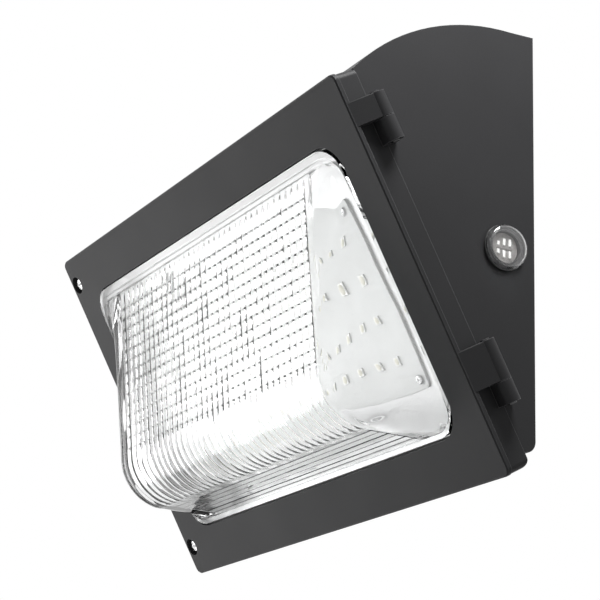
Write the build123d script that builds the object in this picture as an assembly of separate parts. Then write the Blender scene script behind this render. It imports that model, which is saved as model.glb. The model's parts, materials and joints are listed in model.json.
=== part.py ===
from build123d import *
import os
from math import asin, atan, cos, degrees, dist, hypot, pi, radians, sin, sqrt, tan

# Wall pack light: a cast hood on the wall, a hinged door that leans back towards the
# wall at its foot, and a pressed prismatic glass bowl in the door's window.
# Millimetres. X runs to the viewer's right, Y into the wall, Z up.
# The origin is on the wall face, at the centre of the junction box screws.

# ---------------------------------------------------------------- driving sizes
# door
door_width = 361.0
door_height = 224.4
door_top_depth = 128.9  # wall to the door's outer face at its top edge
door_foot_depth = 19.424  # and at its lower edge; the two depths set the door's tilt
door_top_z = 63.5  # the door's top edge above the origin
door_thickness = 3.0
door_corner_r = 4.5
door_edge_bevel = 0.8

# window and glass
window_side_border = 23.5
window_top_border = 28.6
window_bottom_border = 28.2
window_corner_r = 18.0
glass_window_gap = 1.5
glass_wall = 4.5
glass_flange_reach = 5.0  # how far the flange reaches past the window, behind the door
glass_flange_thickness = 5.0
glass_land_rise = 2.0  # the smooth band round the bowl stands out about this far
glass_land_fall = 1.0  # more at the front's top edge, less along the foot
glass_land_dip = 0.4  # from the front's top edge to the window's
glass_land_width = 7.9
glass_front_slope = 0.428
glass_side_lean = 24.5  # the side walls lean in by this much from window to front
glass_edge_round = 6.5
glass_turn_r = 30.0
glass_bottom_draft = 30.0  # degrees between the bowl's underside and the door's normal
glass_foot_border = 7.7
lens_gasket_thickness = 1.5
rib_pitch = 6.7  # upright ribs on the outside of the front, run on under the bowl
rib_rise = 0.7
rib_foot = 0.1  # the valleys between the ribs stand this far out of the plain wall
rib_run_in = 3.5
prism_start_drop = 63.0
prism_pitch = 6.9  # level prisms on the inside of the front
prism_depth = 1.3
prism_peak_share = 0.7  # how far along its pitch a prism's peak lies
under_prism_pitch = 5.3
under_prism_start = 3.0

# how the glass is held
lens_rib_thickness = 2.0
lens_rib_gap = 0.5
clip_xs = (-110.0, 0.0, 110.0)
clip_width = 12.0
clip_thickness = 1.2
clip_overlap = 4.0
clip_post_r = 4.0
clip_post_gap = 1.0
clip_screw_r = 1.5
clip_screw_length = 5.0
clip_head_r = 3.2
clip_head_height = 1.6

# housing
body_top_z = 117.5
housing_wall = 3.2
flange_overhang = 4.0  # the door stands past the flange by this much at each side
flange_front = 4.5  # below the door's outer face
flange_rear = 17.5
flange_corner_r = 4.0
flange_foot_r = 4.0
flange_wall = 3.0
flange_ledge = 2.5
ledge_width = 3.0
pan_corner_r = 3.0
throat_rise = 3.0  # the way through from the pan to the hood lies this much above the middle
throat_overlap = 1.5
body_step = 1.0  # the body is set in from the flange by this much
hood_flat = 15.0
hood_flat_drop = 0.4
hood_bulge = 12.38
heel_r = 6.5
heel_land = 1.194  # level run under the body, between the heel and the flange
gasket_width = 4.0
gasket_inset = 0.9
running_gap = 0.2

# hinge
hinge_outset = 1.4  # pin axis past the door's side edge
hinge_depth = 19.0  # pin axis behind the door's outer face
knuckle_r = 5.0
ear_thickness = 3.4
hinge_pin_r = 2.5
pin_running_gap = 0.05
knuckle_gap = 0.3
upper_ear_top = 17.3  # below the door's top edge
upper_ear_length = 13.3
upper_knuckle_length = 12.9
lower_ear_top = 156.6
lower_ear_length = 22.2
lower_knuckle_length = 12.0
pin_end_stand = 0.8

# captive screws
screw_inset = 7.0  # from the door's left edge
screw_top_border = 17.7  # from the door's top edge
screw_bottom_border = 18.4
counterbore_r = 5.75
counterbore_depth = 5.0
screw_floor = 2.5
screw_boss_r = 7.0
screw_pocket_gap = 0.5
screw_post_r = 11.0
screw_bulge_r = 6.5
screw_post_end = 26.2
screw_head_r = 4.75
screw_head_height = 3.2
screw_neck_r = 1.9
screw_thread_r = 2.5
screw_thread_length = 7.5
screw_travel = 9.0
thread_gap = 0.4
thread_lead_in = 0.9
neck_gap = 0.3

# tray, board and chips
tray_thickness = 1.2
tray_edge_gap = 0.6
tray_band = 11.0
tray_side_band = 20.0
tray_depth = 9.0
tray_slope_run = 16.0
tray_screw_x = 140.0
tray_screw_inset = 8.7
tray_screw_r = 2.0
tray_head_r = 3.8
tray_head_height = 2.2
tray_post_r = 4.5
tray_post_length = 5.5
board_width = 236.0
board_height = 112.0
board_thickness = 1.6
chip_size = 5.0
chip_height = 1.4
chip_columns = 12
chip_rows = 4
chip_pitch_x = 18.0
chip_pitch_y = 24.0
board_screw_inset = 6.0
board_screw_r = 1.5
board_screw_length = 6.0
board_head_r = 2.8
board_head_height = 1.6
fastener_gap = 0.05

# driver
driver_length = 138.0
driver_height = 40.0
driver_depth = 28.0
driver_z = 70.0
driver_ear = 12.0
driver_ear_thickness = 3.0
driver_screw_r = 2.0
driver_screw_length = 8.0
driver_head_r = 3.8
driver_head_height = 2.4
driver_pad = 4.0
driver_corner_r = 3.0

# photocell
photocell_y = -20.0
photocell_z = -9.0
photocell_ring_r = 12.7
photocell_ring_height = 4.5
photocell_barrel_r = 9.5
photocell_barrel_length = 22.0
photocell_hole_gap = 0.3
photocell_gasket_thickness = 1.0
photocell_recess_depth = 3.6
photocell_lens_r = 10.6
photocell_lens_seat = 1.6
photocell_lens_rise = 2.4
photocell_eye_r = 9.6
photocell_sensor_r = 8.6
photocell_sensor_height = 0.9
photocell_bar = 1.3
photocell_bar_height = 0.8
photocell_bar_gap = 3.0
photocell_bar_length = 11.2
photocell_rail_gap = 6.4
nut_across_flats = 24.0
nut_thickness = 4.0

# left side entry
entry_r = 10.4
entry_boss_r = 15.0
entry_boss_depth = 9.0
plug_head_r = 13.0
plug_head_height = 3.0
plug_slot_width = 2.4
plug_slot_depth = 1.6
plug_gap = 0.05

# wall fixing
jbox_spacing = 88.9
jbox_hole_r = 2.8
corner_spacing_x = 270.0
corner_spacing_z = 150.0
corner_hole_r = 3.5
wire_entry_r = 11.1
wire_entry_boss_r = 16.0
wire_entry_length = 8.0
ground_x = -72.0
ground_z = -22.0
ground_post_r = 5.0
ground_post_height = 5.0
ground_head_r = 4.6
ground_head_height = 2.6
ground_screw_r = 2.0
ground_screw_length = 6.0

# wiring
lead_r = 1.1
lead_pitch = 3.2
lead_splay = 1.6  # from a connector's middle to each of the two wires in its mouth
lead_drop_in = 24.0  # straight run into a connector's mouth
lead_over = 34.0  # height over the mouths at which the wires come across
lead_fan = 3.0  # from each wire to the next where they run side by side
cell_lead_out = 22.0  # straight out of the photocell's barrel
cell_lead_turn = 52.0
cell_lead_lift = 18.0
driver_lead_out = 16.0  # straight out of the driver's end
driver_lead_fan = 4.0
driver_lead_drop = 22.0
driver_lead_forward = 8.0
led_lead_out = 18.0
led_lead_turn = 27.0
led_lead_forward = 15.0
led_lead_behind = 24.0  # straight run behind the tray, up to the grommet
connector_mouth_r = 4.6
connector_tip_r = 3.0
connector_length = 20.0
connector_x = 34.0
connector_y = -30.0
connector_z = -6.0
connector_pitch = 12.0
grommet_r = 5.0
grommet_bore_r = 3.4
grommet_lip = 1.4
grommet_x = -92.0
socket_width = 9.0
socket_length = 7.0
socket_height = 4.4
socket_inset = 1.0
led_lead_offset = 1.3

# ---------------------------------------------------------------- shared places
tilt = asin((door_top_depth - door_foot_depth) / door_height)
half_width = door_width / 2
half_height = door_height / 2
window_width = door_width - 2 * window_side_border
window_height = door_height - window_top_border - window_bottom_border
glass_front_half_width = window_width / 2 - glass_window_gap - glass_side_lean
screw_x = -(half_width - screw_inset)
screw_drops = (screw_top_border, door_height - screw_bottom_border)
door_back = -door_thickness

# The door's own frame: x right, y up the door, z out of the door's outer face.
door_centre = (
    0,
    -door_top_depth + half_height * sin(tilt),
    door_top_z - half_height * cos(tilt),
)
door_plane = Plane(origin=door_centre, x_dir=(1, 0, 0), z_dir=(0, -cos(tilt), -sin(tilt)))
door_place = door_plane.location
standing = (Align.CENTER, Align.CENTER, Align.MIN)  # a solid that stands on its own z = 0


def up(drop):
    """Height in the door's frame of a point `drop` below its top edge."""
    return half_height - drop


def side_point(drop, out):
    """(y, z) of a point `drop` down the door and `out` of its outer face."""
    y = -door_top_depth + drop * sin(tilt) - out * cos(tilt)
    z = door_top_z - drop * cos(tilt) - out * sin(tilt)
    return (y, z)


def rod(radius, start, end, x=0.0, y=0.0):
    """Cylinder along the door's normal between two heights."""
    low = min(start, end)
    return Pos(x, y, low) * Cylinder(radius, abs(end - start), align=standing)


def peg(radius, start, end, x=0.0, y=0.0):
    """Small post, hole or shank along the door's normal: a twelve-sided prism within the radius."""
    return slab(Pos(x, y) * RegularPolygon(radius, 12), start, end)


def flat_sided_cone(low_r, high_r, height, sides):
    """Frustum with flat sides, from one polygon's corner radius to another's, standing on z = 0."""
    narrowing = (low_r - high_r) * cos(pi / sides)
    return extrude(RegularPolygon(low_r, sides), amount=height, taper=degrees(atan(narrowing / height)))


def slab(outline, start, end):
    """A flat outline, thickened between two heights along the door's normal."""
    low = min(start, end)
    return extrude(Pos(0, 0, low) * outline, amount=abs(end - start))


def ring_of(width, height, radius, inset, centre_y=0.0):
    """Frame-shaped outline whose inner edge is `inset` inside its outer edge."""
    outer = RectangleRounded(width, height, radius)
    inner = RectangleRounded(width - 2 * inset, height - 2 * inset, max(radius - inset, 0.5))
    return Pos(0, centre_y) * (outer - inner)


window_top = up(window_top_border)
window_y = window_top - window_height / 2
flange_width = door_width - 2 * flange_overhang
body_width = flange_width - 2 * body_step
ledge_level = -(flange_rear - flange_ledge)
glass_flange_front = door_back - lens_gasket_thickness
glass_flange_back = glass_flange_front - glass_flange_thickness
hinge_x = half_width + hinge_outset
upper_ear = (upper_ear_top, upper_ear_top + upper_ear_length)
upper_knuckle = (upper_ear[1] + knuckle_gap, upper_ear[1] + knuckle_gap + upper_knuckle_length)
lower_ear = (lower_ear_top, lower_ear_top + lower_ear_length)
lower_knuckle = (lower_ear[1] + knuckle_gap, lower_ear[1] + knuckle_gap + lower_knuckle_length)
screw_floor_top = -counterbore_depth
screw_boss_end = screw_floor_top - screw_floor
screw_post_top = screw_boss_end - screw_pocket_gap
neck_end = screw_boss_end - screw_travel
thread_end = neck_end - screw_thread_length


def along_hinge(radius, drops, x=None):
    """Cylinder on the hinge axis between two distances below the door's top edge."""
    length = drops[1] - drops[0]
    middle = up((drops[0] + drops[1]) / 2)
    return Pos(hinge_x, middle, -hinge_depth) * Rot(90, 0, 0) * Cylinder(radius, length)


# ---------------------------------------------------------------- door
def make_ear(drops):
    """Plate from the door's side edge back to a knuckle on the hinge axis."""
    length = drops[1] - drops[0]
    middle = up((drops[0] + drops[1]) / 2)
    reach = hinge_depth - door_thickness / 2
    plate = Pos(half_width - ear_thickness / 2, middle, -hinge_depth + reach / 2) * Box(
        ear_thickness, length, reach
    )
    return plate + along_hinge(knuckle_r, drops)


def make_door_frame():
    outline = RectangleRounded(door_width, door_height, door_corner_r)
    plate = slab(outline, door_back, 0)
    rim = plate.faces().sort_by(Axis.Z)[-1].edges()
    plate = chamfer(rim, door_edge_bevel)
    window = Pos(0, window_y) * RectangleRounded(window_width, window_height, window_corner_r)
    rib_grow = glass_flange_reach + lens_rib_gap + lens_rib_thickness
    lens_rib = ring_of(
        window_width + 2 * rib_grow,
        window_height + 2 * rib_grow,
        window_corner_r + rib_grow,
        lens_rib_thickness,
        window_y,
    )
    frame = plate + slab(lens_rib, glass_flange_back, door_back)
    for x, y in clip_places():
        frame += peg(clip_post_r, glass_flange_back, door_back, x, y)
    for drop in screw_drops:
        frame += peg(screw_boss_r, screw_boss_end, door_back, screw_x, up(drop))
    frame += make_ear(upper_ear) + make_ear(lower_ear)
    frame -= slab(window, glass_flange_back, 1)
    for x, y in clip_places():
        frame -= peg(clip_screw_r + fastener_gap, glass_flange_back, door_back, x, y)
    for drop in screw_drops:
        frame -= rod(counterbore_r, screw_floor_top, 1, screw_x, up(drop))
        frame -= peg(screw_neck_r + neck_gap, screw_boss_end, 1, screw_x, up(drop))
    for drops in (upper_ear, lower_ear):
        frame -= along_hinge(hinge_pin_r + pin_running_gap, (drops[0] - 1, drops[1] + 1))
    return frame


def clip_places():
    """Centres of the six posts that hold the lens clips."""
    reach = window_height / 2 + glass_flange_reach + lens_rib_gap + lens_rib_thickness
    offset = reach + clip_post_gap + clip_post_r
    return [(x, window_y + side * offset) for side in (1, -1) for x in clip_xs]


def make_lens_clips():
    """Flat straps from each post over the back of the glass flange."""
    reach = window_height / 2 + glass_flange_reach
    post_offset = clip_places()[0][1] - window_y
    outer = post_offset + clip_post_r
    inner = reach - clip_overlap
    clips = []
    for x, y in clip_places():
        side = 1 if y > window_y else -1
        middle = window_y + side * (outer + inner) / 2
        strap = Pos(x, middle) * Rectangle(clip_width, outer - inner)
        hole = Pos(x, y) * RegularPolygon(clip_screw_r + fastener_gap, 12)
        clips.append(slab(strap - hole, glass_flange_back - clip_thickness, glass_flange_back))
    return Compound(clips)


def pan_screw(radius, length, head_r, head_height):
    """Screw with its head above z = 0 and its shank below."""
    head = flat_sided_cone(head_r, head_r * 0.75, head_height, 12)
    shank = slab(RegularPolygon(radius, 6), -length, 0)
    return head + shank


def make_lens_clip_screws():
    under = glass_flange_back - clip_thickness
    screw = pan_screw(clip_screw_r, clip_screw_length + clip_thickness, clip_head_r, clip_head_height)
    turned = Rot(180, 0, 0) * screw
    return Compound([Pos(x, y, under) * turned for x, y in clip_places()])


def make_lens_gasket():
    width = window_width + 2 * glass_flange_reach
    height = window_height + 2 * glass_flange_reach
    ring = ring_of(width, height, window_corner_r + glass_flange_reach, glass_flange_reach, window_y)
    return slab(ring, glass_flange_front, door_back)


# ---------------------------------------------------------------- glass
slope_angle = atan(glass_front_slope)
draft = radians(glass_bottom_draft)
turn_angle = pi / 2 - draft + slope_angle
front_run = (cos(slope_angle), sin(slope_angle))  # (drop, out) down the front
under_run = (sin(draft), -cos(draft))  # and back under the bowl
land_out = glass_land_rise + glass_land_fall
bowl_flat = glass_land_rise - glass_land_fall


def outward(run):
    """(drop, out) square to a run of the bowl's profile, on its outer side."""
    return (-run[1], run[0])


def along(point, run, distance):
    """The (drop, out) point that lies `distance` further along a run."""
    return (point[0] + distance * run[0], point[1] + distance * run[1])


def bowl_points(inset):
    """Corner points (drop, out) of the bowl's profile, `inset` inside the outer skin."""
    land_end = (window_top_border + glass_window_gap + glass_land_width, land_out - inset / cos(slope_angle))
    foot_drop = window_top_border + window_height - glass_window_gap - glass_foot_border
    foot = (foot_drop - inset / cos(draft), bowl_flat - inset)
    # the corner where the front's line meets the underside's
    rise_at_foot = land_end[1] + glass_front_slope * (foot[0] - land_end[0]) - land_out + 2 * glass_land_fall
    meet_drop = foot[0] - tan(draft) * rise_at_foot / (1 + glass_front_slope * tan(draft))
    meet = (meet_drop, land_end[1] + glass_front_slope * (meet_drop - land_end[0]))
    return land_end, meet, foot


def bowl_turn(inset):
    """Start, middle, end and centre of the round turn from the front to the underside."""
    _, meet, _ = bowl_points(inset)
    radius = glass_turn_r - inset
    tangent = radius * tan(turn_angle / 2)
    start = along(meet, front_run, -tangent)
    end = along(meet, under_run, tangent)
    centre = along(start, outward(front_run), -radius)
    middle = along(centre, outward((cos(slope_angle - turn_angle / 2), sin(slope_angle - turn_angle / 2))), radius)
    return start, middle, end, centre


def bowl_section(x, weight, inset, base):
    """Closed profile face at one x: the full profile at weight 1, nearly flat at 0."""
    land_end, _, foot = bowl_points(inset)
    turn_start, turn_middle, turn_end, _ = bowl_turn(inset)
    flat = bowl_flat - inset

    def place(point):
        """Weighted point in the door's frame, at this x."""
        return (x, up(point[0]), flat + weight * (point[1] - flat))

    points = [land_end, turn_start]
    heel = foot
    if not inset:
        points.insert(0, (window_top_border + glass_window_gap, land_out - glass_land_dip))
        heel = (foot[0] + glass_foot_border, flat)
    top_base, heel_base = (x, up(points[0][0]), base), (x, up(heel[0]), base)
    outline = [Polyline(top_base, *[place(point) for point in points])]
    outline.append(ThreePointArc(place(turn_start), place(turn_middle), place(turn_end)))
    under = [turn_end, foot] if inset else [turn_end, foot, heel]
    outline.append(Polyline(*[place(point) for point in under], heel_base, top_base))
    return make_face(outline)


def bowl_solid(inset, base):
    """Bowl, solid right through: straight across the front, with sections of falling height at each side."""
    edge = glass_front_half_width - inset
    side = window_width / 2 - glass_window_gap - inset
    fall = 1 / (side - edge)
    plateau = edge - glass_edge_round
    stations = [
        (plateau, 1.0),
        (edge - glass_edge_round * 0.3, 1 - fall * glass_edge_round * 0.16),
        (edge + glass_edge_round * 0.35, 1 - fall * glass_edge_round * 0.48),
        (edge + glass_edge_round, 1 - fall * glass_edge_round),
        (side, 0.04),
    ]
    middle = extrude(bowl_section(0, 1.0, inset, base), amount=plateau, dir=(1, 0, 0), both=True)
    right = loft([bowl_section(x, weight, inset, base) for x, weight in stations], ruled=True)
    return middle + right + mirror(right, about=Plane.YZ)


def ridges(point, run):
    """Outline of the upright ribs, side by side across the front, standing on one point of its skin."""
    normal = outward(run)
    count = int(2 * (glass_front_half_width - glass_edge_round) / rib_pitch)
    start = -count * rib_pitch / 2
    crest, bite = rib_foot + rib_rise, -glass_wall / 4
    corners = [(start, bite), (start, rib_foot)]
    for index in range(count):
        corners.append((start + (index + 0.5) * rib_pitch, crest))
        corners.append((start + (index + 1) * rib_pitch, rib_foot))
    corners.append((-start, bite))
    places = [(x, along(point, normal, height)) for x, height in corners]
    return make_face(Polyline(*[(x, up(place[0]), place[1]) for x, place in places], close=True))


def outer_ribs():
    """Upright ribs down the outside of the front, round the turn and back under the bowl."""
    land_end, _, foot = bowl_points(0)
    turn_start, _, turn_end, centre = bowl_turn(0)
    front = extrude(ridges(land_end, front_run), amount=dist(land_end, turn_start), dir=across(front_run))
    under = extrude(ridges(turn_end, under_run), amount=dist(turn_end, foot), dir=across(under_run))
    turn = revolve(
        ridges(turn_start, front_run),
        axis=Axis((0, up(centre[0]), centre[1]), (1, 0, 0)),
        revolution_arc=degrees(turn_angle),
    )
    # the ribs rise from nothing over their run-in
    normal = outward(front_run)
    over = rib_rise / rib_run_in
    corners = [(-1, rib_foot - over), (rib_run_in + 1, rib_foot + rib_rise + over), (-1, rib_foot + rib_rise + 1)]
    wedge = [along(along(land_end, front_run, run), normal, height) for run, height in corners]
    face = make_face(Polyline(*[(0, up(drop), out) for drop, out in wedge], close=True))
    return front - extrude(face, amount=glass_front_half_width, dir=(1, 0, 0), both=True) + turn + under


def across(run):
    """Direction of a (drop, out) run in the door's frame."""
    return (0, -run[0], run[1])


def prism_comb(start, run, inward, room, pitch):
    """Saw-toothed block from inside the glass wall to the prisms' peaks, with as many as there is room for."""
    count = int(room / pitch)

    def at(distance, depth):
        drop, out = along(along(start, run, distance), inward, depth)
        return (0, up(drop), out)

    bite = 0.4 * prism_depth
    points = [at(0, -bite), at(0, 0)]
    for index in range(count):
        points.append(at((index + prism_peak_share) * pitch, prism_depth))
        points.append(at((index + 1) * pitch, 0))
    points.append(at(count * pitch, -bite))
    half_span = glass_front_half_width - glass_wall - glass_edge_round
    return extrude(make_face(Polyline(*points, close=True)), amount=half_span, dir=(1, 0, 0), both=True)


def inner_prisms():
    """Level prisms on the inside of the bowl: across the front, and across the underside."""
    land_end, _, foot = bowl_points(glass_wall)
    turn_start, _, turn_end, _ = bowl_turn(glass_wall)
    start = along(land_end, front_run, (prism_start_drop - land_end[0]) / front_run[0])
    rising = (-under_run[0], -under_run[1])
    under_start = along(foot, rising, under_prism_start)
    front = prism_comb(start, front_run, (front_run[1], -front_run[0]), dist(start, turn_start), prism_pitch)
    under = prism_comb(
        under_start, rising, (-rising[1], rising[0]), dist(under_start, turn_end), under_prism_pitch
    )
    return front + under


def make_glass():
    neck_width = window_width - 2 * glass_window_gap
    neck_height = window_height - 2 * glass_window_gap
    neck_corner_r = window_corner_r - glass_window_gap
    neck = Pos(0, window_y) * RectangleRounded(neck_width, neck_height, neck_corner_r)
    bowl = bowl_solid(0, glass_flange_front) & slab(neck, glass_flange_front - 1, 90)
    flange = Pos(0, window_y) * RectangleRounded(
        window_width + 2 * glass_flange_reach,
        window_height + 2 * glass_flange_reach,
        window_corner_r + glass_flange_reach,
    )
    glass = bowl + slab(flange, glass_flange_back, glass_flange_front) + outer_ribs()
    glass -= bowl_solid(glass_wall, glass_flange_back - 1)
    return glass + inner_prisms()


# ---------------------------------------------------------------- housing
def body_profile():
    """Side view of the hood, from the wall to the back of the flange."""
    flange_top = side_point(0, -flange_rear)
    foot_drop = (door_top_depth - flange_rear * cos(tilt) - heel_r - heel_land) / sin(tilt)
    flange_foot = side_point(foot_drop, -flange_rear)
    bottom = flange_foot[1]
    hood_start = (-hood_flat, body_top_z - hood_flat_drop)
    heel_side = (0, bottom + heel_r)
    heel_bottom = (-heel_r, bottom)
    slant = heel_r * (1 - cos(radians(45)))
    heel_mid = (-slant, bottom + slant)
    run = (flange_top[0] - hood_start[0], flange_top[1] - hood_start[1])
    chord = hypot(*run)
    hood_mid = (
        (hood_start[0] + flange_top[0]) / 2 + hood_bulge * run[1] / chord,
        (hood_start[1] + flange_top[1]) / 2 - hood_bulge * run[0] / chord,
    )
    lines = [
        Line((0, body_top_z), hood_start),
        ThreePointArc(hood_start, hood_mid, flange_top),
        Line(flange_top, flange_foot),
        Line(flange_foot, heel_bottom),
        ThreePointArc(heel_bottom, heel_mid, heel_side),
        Line(heel_side, (0, body_top_z)),
    ]
    return make_face(lines)


def flange_profile():
    """Side view of the flange in the door's frame, with its lower back corner rounded."""
    low = -half_height
    slant = flange_foot_r * (1 - cos(radians(45)))
    turn_start = (low, -flange_rear + flange_foot_r)
    turn_mid = (low + slant, -flange_rear + slant)
    turn_end = (low + flange_foot_r, -flange_rear)
    return make_face([
        Line((half_height, -flange_front), (low, -flange_front)),
        Line((low, -flange_front), turn_start),
        ThreePointArc(turn_start, turn_mid, turn_end),
        Line(turn_end, (half_height, -flange_rear)),
        Line((half_height, -flange_rear), (half_height, -flange_front)),
    ])


def on_side(face, half_span):
    """A (y, z) outline, thickened to both sides of the middle."""
    return extrude(Plane.YZ * face, amount=half_span, both=True)


def from_side(face, x, depth):
    """A (y, z) outline at one x, thickened towards +X (or -X if depth is negative)."""
    return extrude(Plane.YZ.offset(x) * face, amount=depth)


def wall_rod(radius, start, end, x, z):
    """Cylinder along Y between two depths."""
    middle = (start + end) / 2
    return Pos(x, middle, z) * Rot(90, 0, 0) * Cylinder(radius, abs(end - start))


def wall_peg(radius, start, end, x, z):
    """Small post or hole along Y between two depths: a twelve-sided prism within the radius."""
    return Pos(x, 0, z) * Rot(90, 0, 0) * peg(radius, -end, -start)


def make_housing():
    profile = body_profile()
    body = on_side(profile, body_width / 2)
    flange_outline = RectangleRounded(flange_width, door_height, flange_corner_r)
    flange = slab(flange_outline, -flange_rear, -flange_front) & on_side(flange_profile(), flange_width / 2)
    housing = body + door_place * flange

    # screw posts on the left, with their pockets for the door's bosses
    post_keep = slab(flange_outline, -screw_post_end, -flange_front)
    for drop in screw_drops:
        post = rod(screw_post_r, -screw_post_end, -flange_front, screw_x, up(drop)) & post_keep
        bulge = rod(screw_bulge_r, -screw_post_end, screw_post_top, screw_x, up(drop))
        housing += door_place * (post + bulge)

    # hinge knuckles on the right
    for drops in (upper_knuckle, lower_knuckle):
        length = drops[1] - drops[0]
        middle = up((drops[0] + drops[1]) / 2)
        root_x = body_width / 2 - housing_wall / 2
        web = Pos((hinge_x + root_x) / 2, middle, -hinge_depth) * Box(
            hinge_x - root_x, length, 2 * knuckle_r
        )
        housing += door_place * (web + along_hinge(knuckle_r, drops))

    # hollow
    inner = offset(profile, amount=-housing_wall, kind=Kind.INTERSECTION)
    cavity = on_side(inner, body_width / 2 - housing_wall)
    pan = RectangleRounded(flange_width - 2 * flange_wall, door_height - 2 * flange_wall, pan_corner_r)
    cavity += door_place * slab(pan, ledge_level, 0)
    throat_width = body_width - 2 * housing_wall
    throat_height = door_height - 2 * (flange_wall + ledge_width) - 2 * throat_rise
    throat = Pos(0, throat_rise) * RectangleRounded(throat_width, throat_height, pan_corner_r)
    cavity += door_place * slab(throat, -flange_rear - housing_wall - throat_overlap, ledge_level)
    keep = None
    for drop in screw_drops:
        post = rod(screw_post_r, -screw_post_end, -flange_front, screw_x, up(drop)) & post_keep
        keep = post if keep is None else keep + post
    for x, drop in tray_screw_places():
        keep += peg(tray_post_r, ledge_level - tray_post_length, ledge_level, x, up(drop))
    cavity -= door_place * keep
    housing -= cavity
    return housing


def tray_screw_places():
    """(x, drop) of the four screws in the tray's top and bottom bands."""
    drops = (tray_screw_inset, door_height - tray_screw_inset)
    return [(side * tray_screw_x, drop) for drop in drops for side in (-1, 1)]


def finish_housing(housing):
    """Holes, bosses and posts that are cut or added after the hollow is made."""
    inner_side = body_width / 2 - housing_wall
    for drop in screw_drops:
        pocket = peg(screw_boss_r + screw_pocket_gap, screw_post_top, 0, screw_x, up(drop))
        bore = peg(screw_thread_r + thread_lead_in, neck_end + 1, 0, screw_x, up(drop))
        tapped = peg(screw_thread_r + thread_gap, -screw_post_end + 1.5, 0, screw_x, up(drop))
        housing -= door_place * (pocket + bore + tapped)
    for drops in (upper_knuckle, lower_knuckle):
        housing -= door_place * along_hinge(hinge_pin_r, (drops[0] - 1, drops[1] + 1))
    for x, drop in tray_screw_places():
        hole = peg(tray_screw_r + fastener_gap, ledge_level - tray_post_length, ledge_level, x, up(drop))
        housing -= door_place * hole

    # photocell hole on the right, threaded entry on the left
    centre = Pos(photocell_y, photocell_z)
    hole = centre * Circle(photocell_barrel_r + photocell_hole_gap)
    housing -= from_side(hole, inner_side - 1, housing_wall + 2)
    boss = centre * RegularPolygon(entry_boss_r, 16)
    housing += from_side(boss, -body_width / 2 + 0.5, entry_boss_depth + housing_wall - 0.5)
    bore = centre * Circle(entry_r)
    housing -= from_side(bore, -body_width / 2 - 1, entry_boss_depth + housing_wall + 2)

    # back wall
    inside = -housing_wall
    housing += wall_peg(wire_entry_boss_r, -wire_entry_length, inside / 2, 0, 0)
    housing -= wall_rod(wire_entry_r, -wire_entry_length - 1, 1, 0, 0)
    for side in (-1, 1):
        housing -= wall_rod(jbox_hole_r, inside - 1, 1, side * jbox_spacing / 2, 0)
        for level in (-1, 1):
            x, z = side * corner_spacing_x / 2, level * corner_spacing_z / 2
            housing -= wall_rod(corner_hole_r, inside - 1, 1, x, z)
        x = side * (driver_length / 2 + driver_ear / 2)
        pad_front = inside - driver_pad
        housing += wall_peg(driver_ear / 2, pad_front, inside / 2, x, driver_z)
        housing -= wall_peg(driver_screw_r + fastener_gap, pad_front - 1, -1, x, driver_z)
    housing += wall_peg(ground_post_r, inside - ground_post_height, inside / 2, ground_x, ground_z)
    housing -= wall_peg(
        ground_screw_r + fastener_gap, inside - ground_post_height - 1, -1, ground_x, ground_z
    )
    return housing


def make_door_gasket():
    width = flange_width - 2 * gasket_inset
    height = door_height - 2 * gasket_inset
    ring = ring_of(width, height, flange_corner_r, gasket_width)
    pocket_r = screw_boss_r + screw_pocket_gap + 0.3
    outer = RectangleRounded(width, height, flange_corner_r)
    for drop in screw_drops:
        here = Pos(screw_x, up(drop))
        ring += (here * Circle(screw_post_r - 0.2)) & outer
        ring -= here * Circle(pocket_r)
    return slab(ring, -flange_front, door_back - running_gap)


# ---------------------------------------------------------------- tray and light source
tray_top = ledge_level + tray_thickness
tray_floor = tray_top - tray_depth


def dish(inset, low, high):
    """Tapered block between the dish's floor and its mouth."""
    mouth_width = flange_width - 2 * flange_wall - 2 * tray_side_band
    mouth_height = door_height - 2 * flange_wall - 2 * tray_band
    mouth = RectangleRounded(mouth_width - 2 * inset, mouth_height - 2 * inset, 6)
    floor = RectangleRounded(
        mouth_width - 2 * (inset + tray_slope_run), mouth_height - 2 * (inset + tray_slope_run), 4
    )
    return loft([Pos(0, 0, low) * floor, Pos(0, 0, high) * mouth])


def make_tray():
    outline = RectangleRounded(
        flange_width - 2 * (flange_wall + tray_edge_gap), door_height - 2 * (flange_wall + tray_edge_gap), 3
    )
    for drop in screw_drops:
        outline -= Pos(screw_x, up(drop)) * Circle(screw_post_r + tray_edge_gap)
    tray = slab(outline, ledge_level, tray_top)
    tray += dish(0, tray_floor - tray_thickness, tray_top)
    tray -= dish(tray_thickness, tray_floor, tray_top + 0.001)
    for x, drop in tray_screw_places():
        tray -= peg(tray_screw_r + fastener_gap, ledge_level - 1, tray_top + 1, x, up(drop))
    for x, y in board_screw_places():
        tray -= peg(board_screw_r + fastener_gap, tray_floor - tray_thickness - 1, tray_floor + 1, x, y)
    tray -= peg(grommet_r, tray_floor - tray_thickness - 1, tray_floor + 1, grommet_x, grommet_y)
    return tray


def make_tray_screws():
    screw = pan_screw(tray_screw_r, tray_thickness + tray_post_length - 0.5, tray_head_r, tray_head_height)
    return Compound([Pos(x, up(drop), tray_top) * screw for x, drop in tray_screw_places()])


board_top = tray_floor + board_thickness
grommet_y = board_height / 2 + grommet_r + grommet_lip + 1.5


def board_screw_places():
    x = board_width / 2 - board_screw_inset
    y = board_height / 2 - board_screw_inset
    return [(side * x, level * y) for level in (1, -1) for side in (-1, 1)]


def make_board():
    outline = RectangleRounded(board_width, board_height, 3)
    for x, y in board_screw_places():
        outline -= Pos(x, y) * RegularPolygon(board_screw_r + fastener_gap, 12)
    return slab(outline, tray_floor, board_top)


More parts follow.
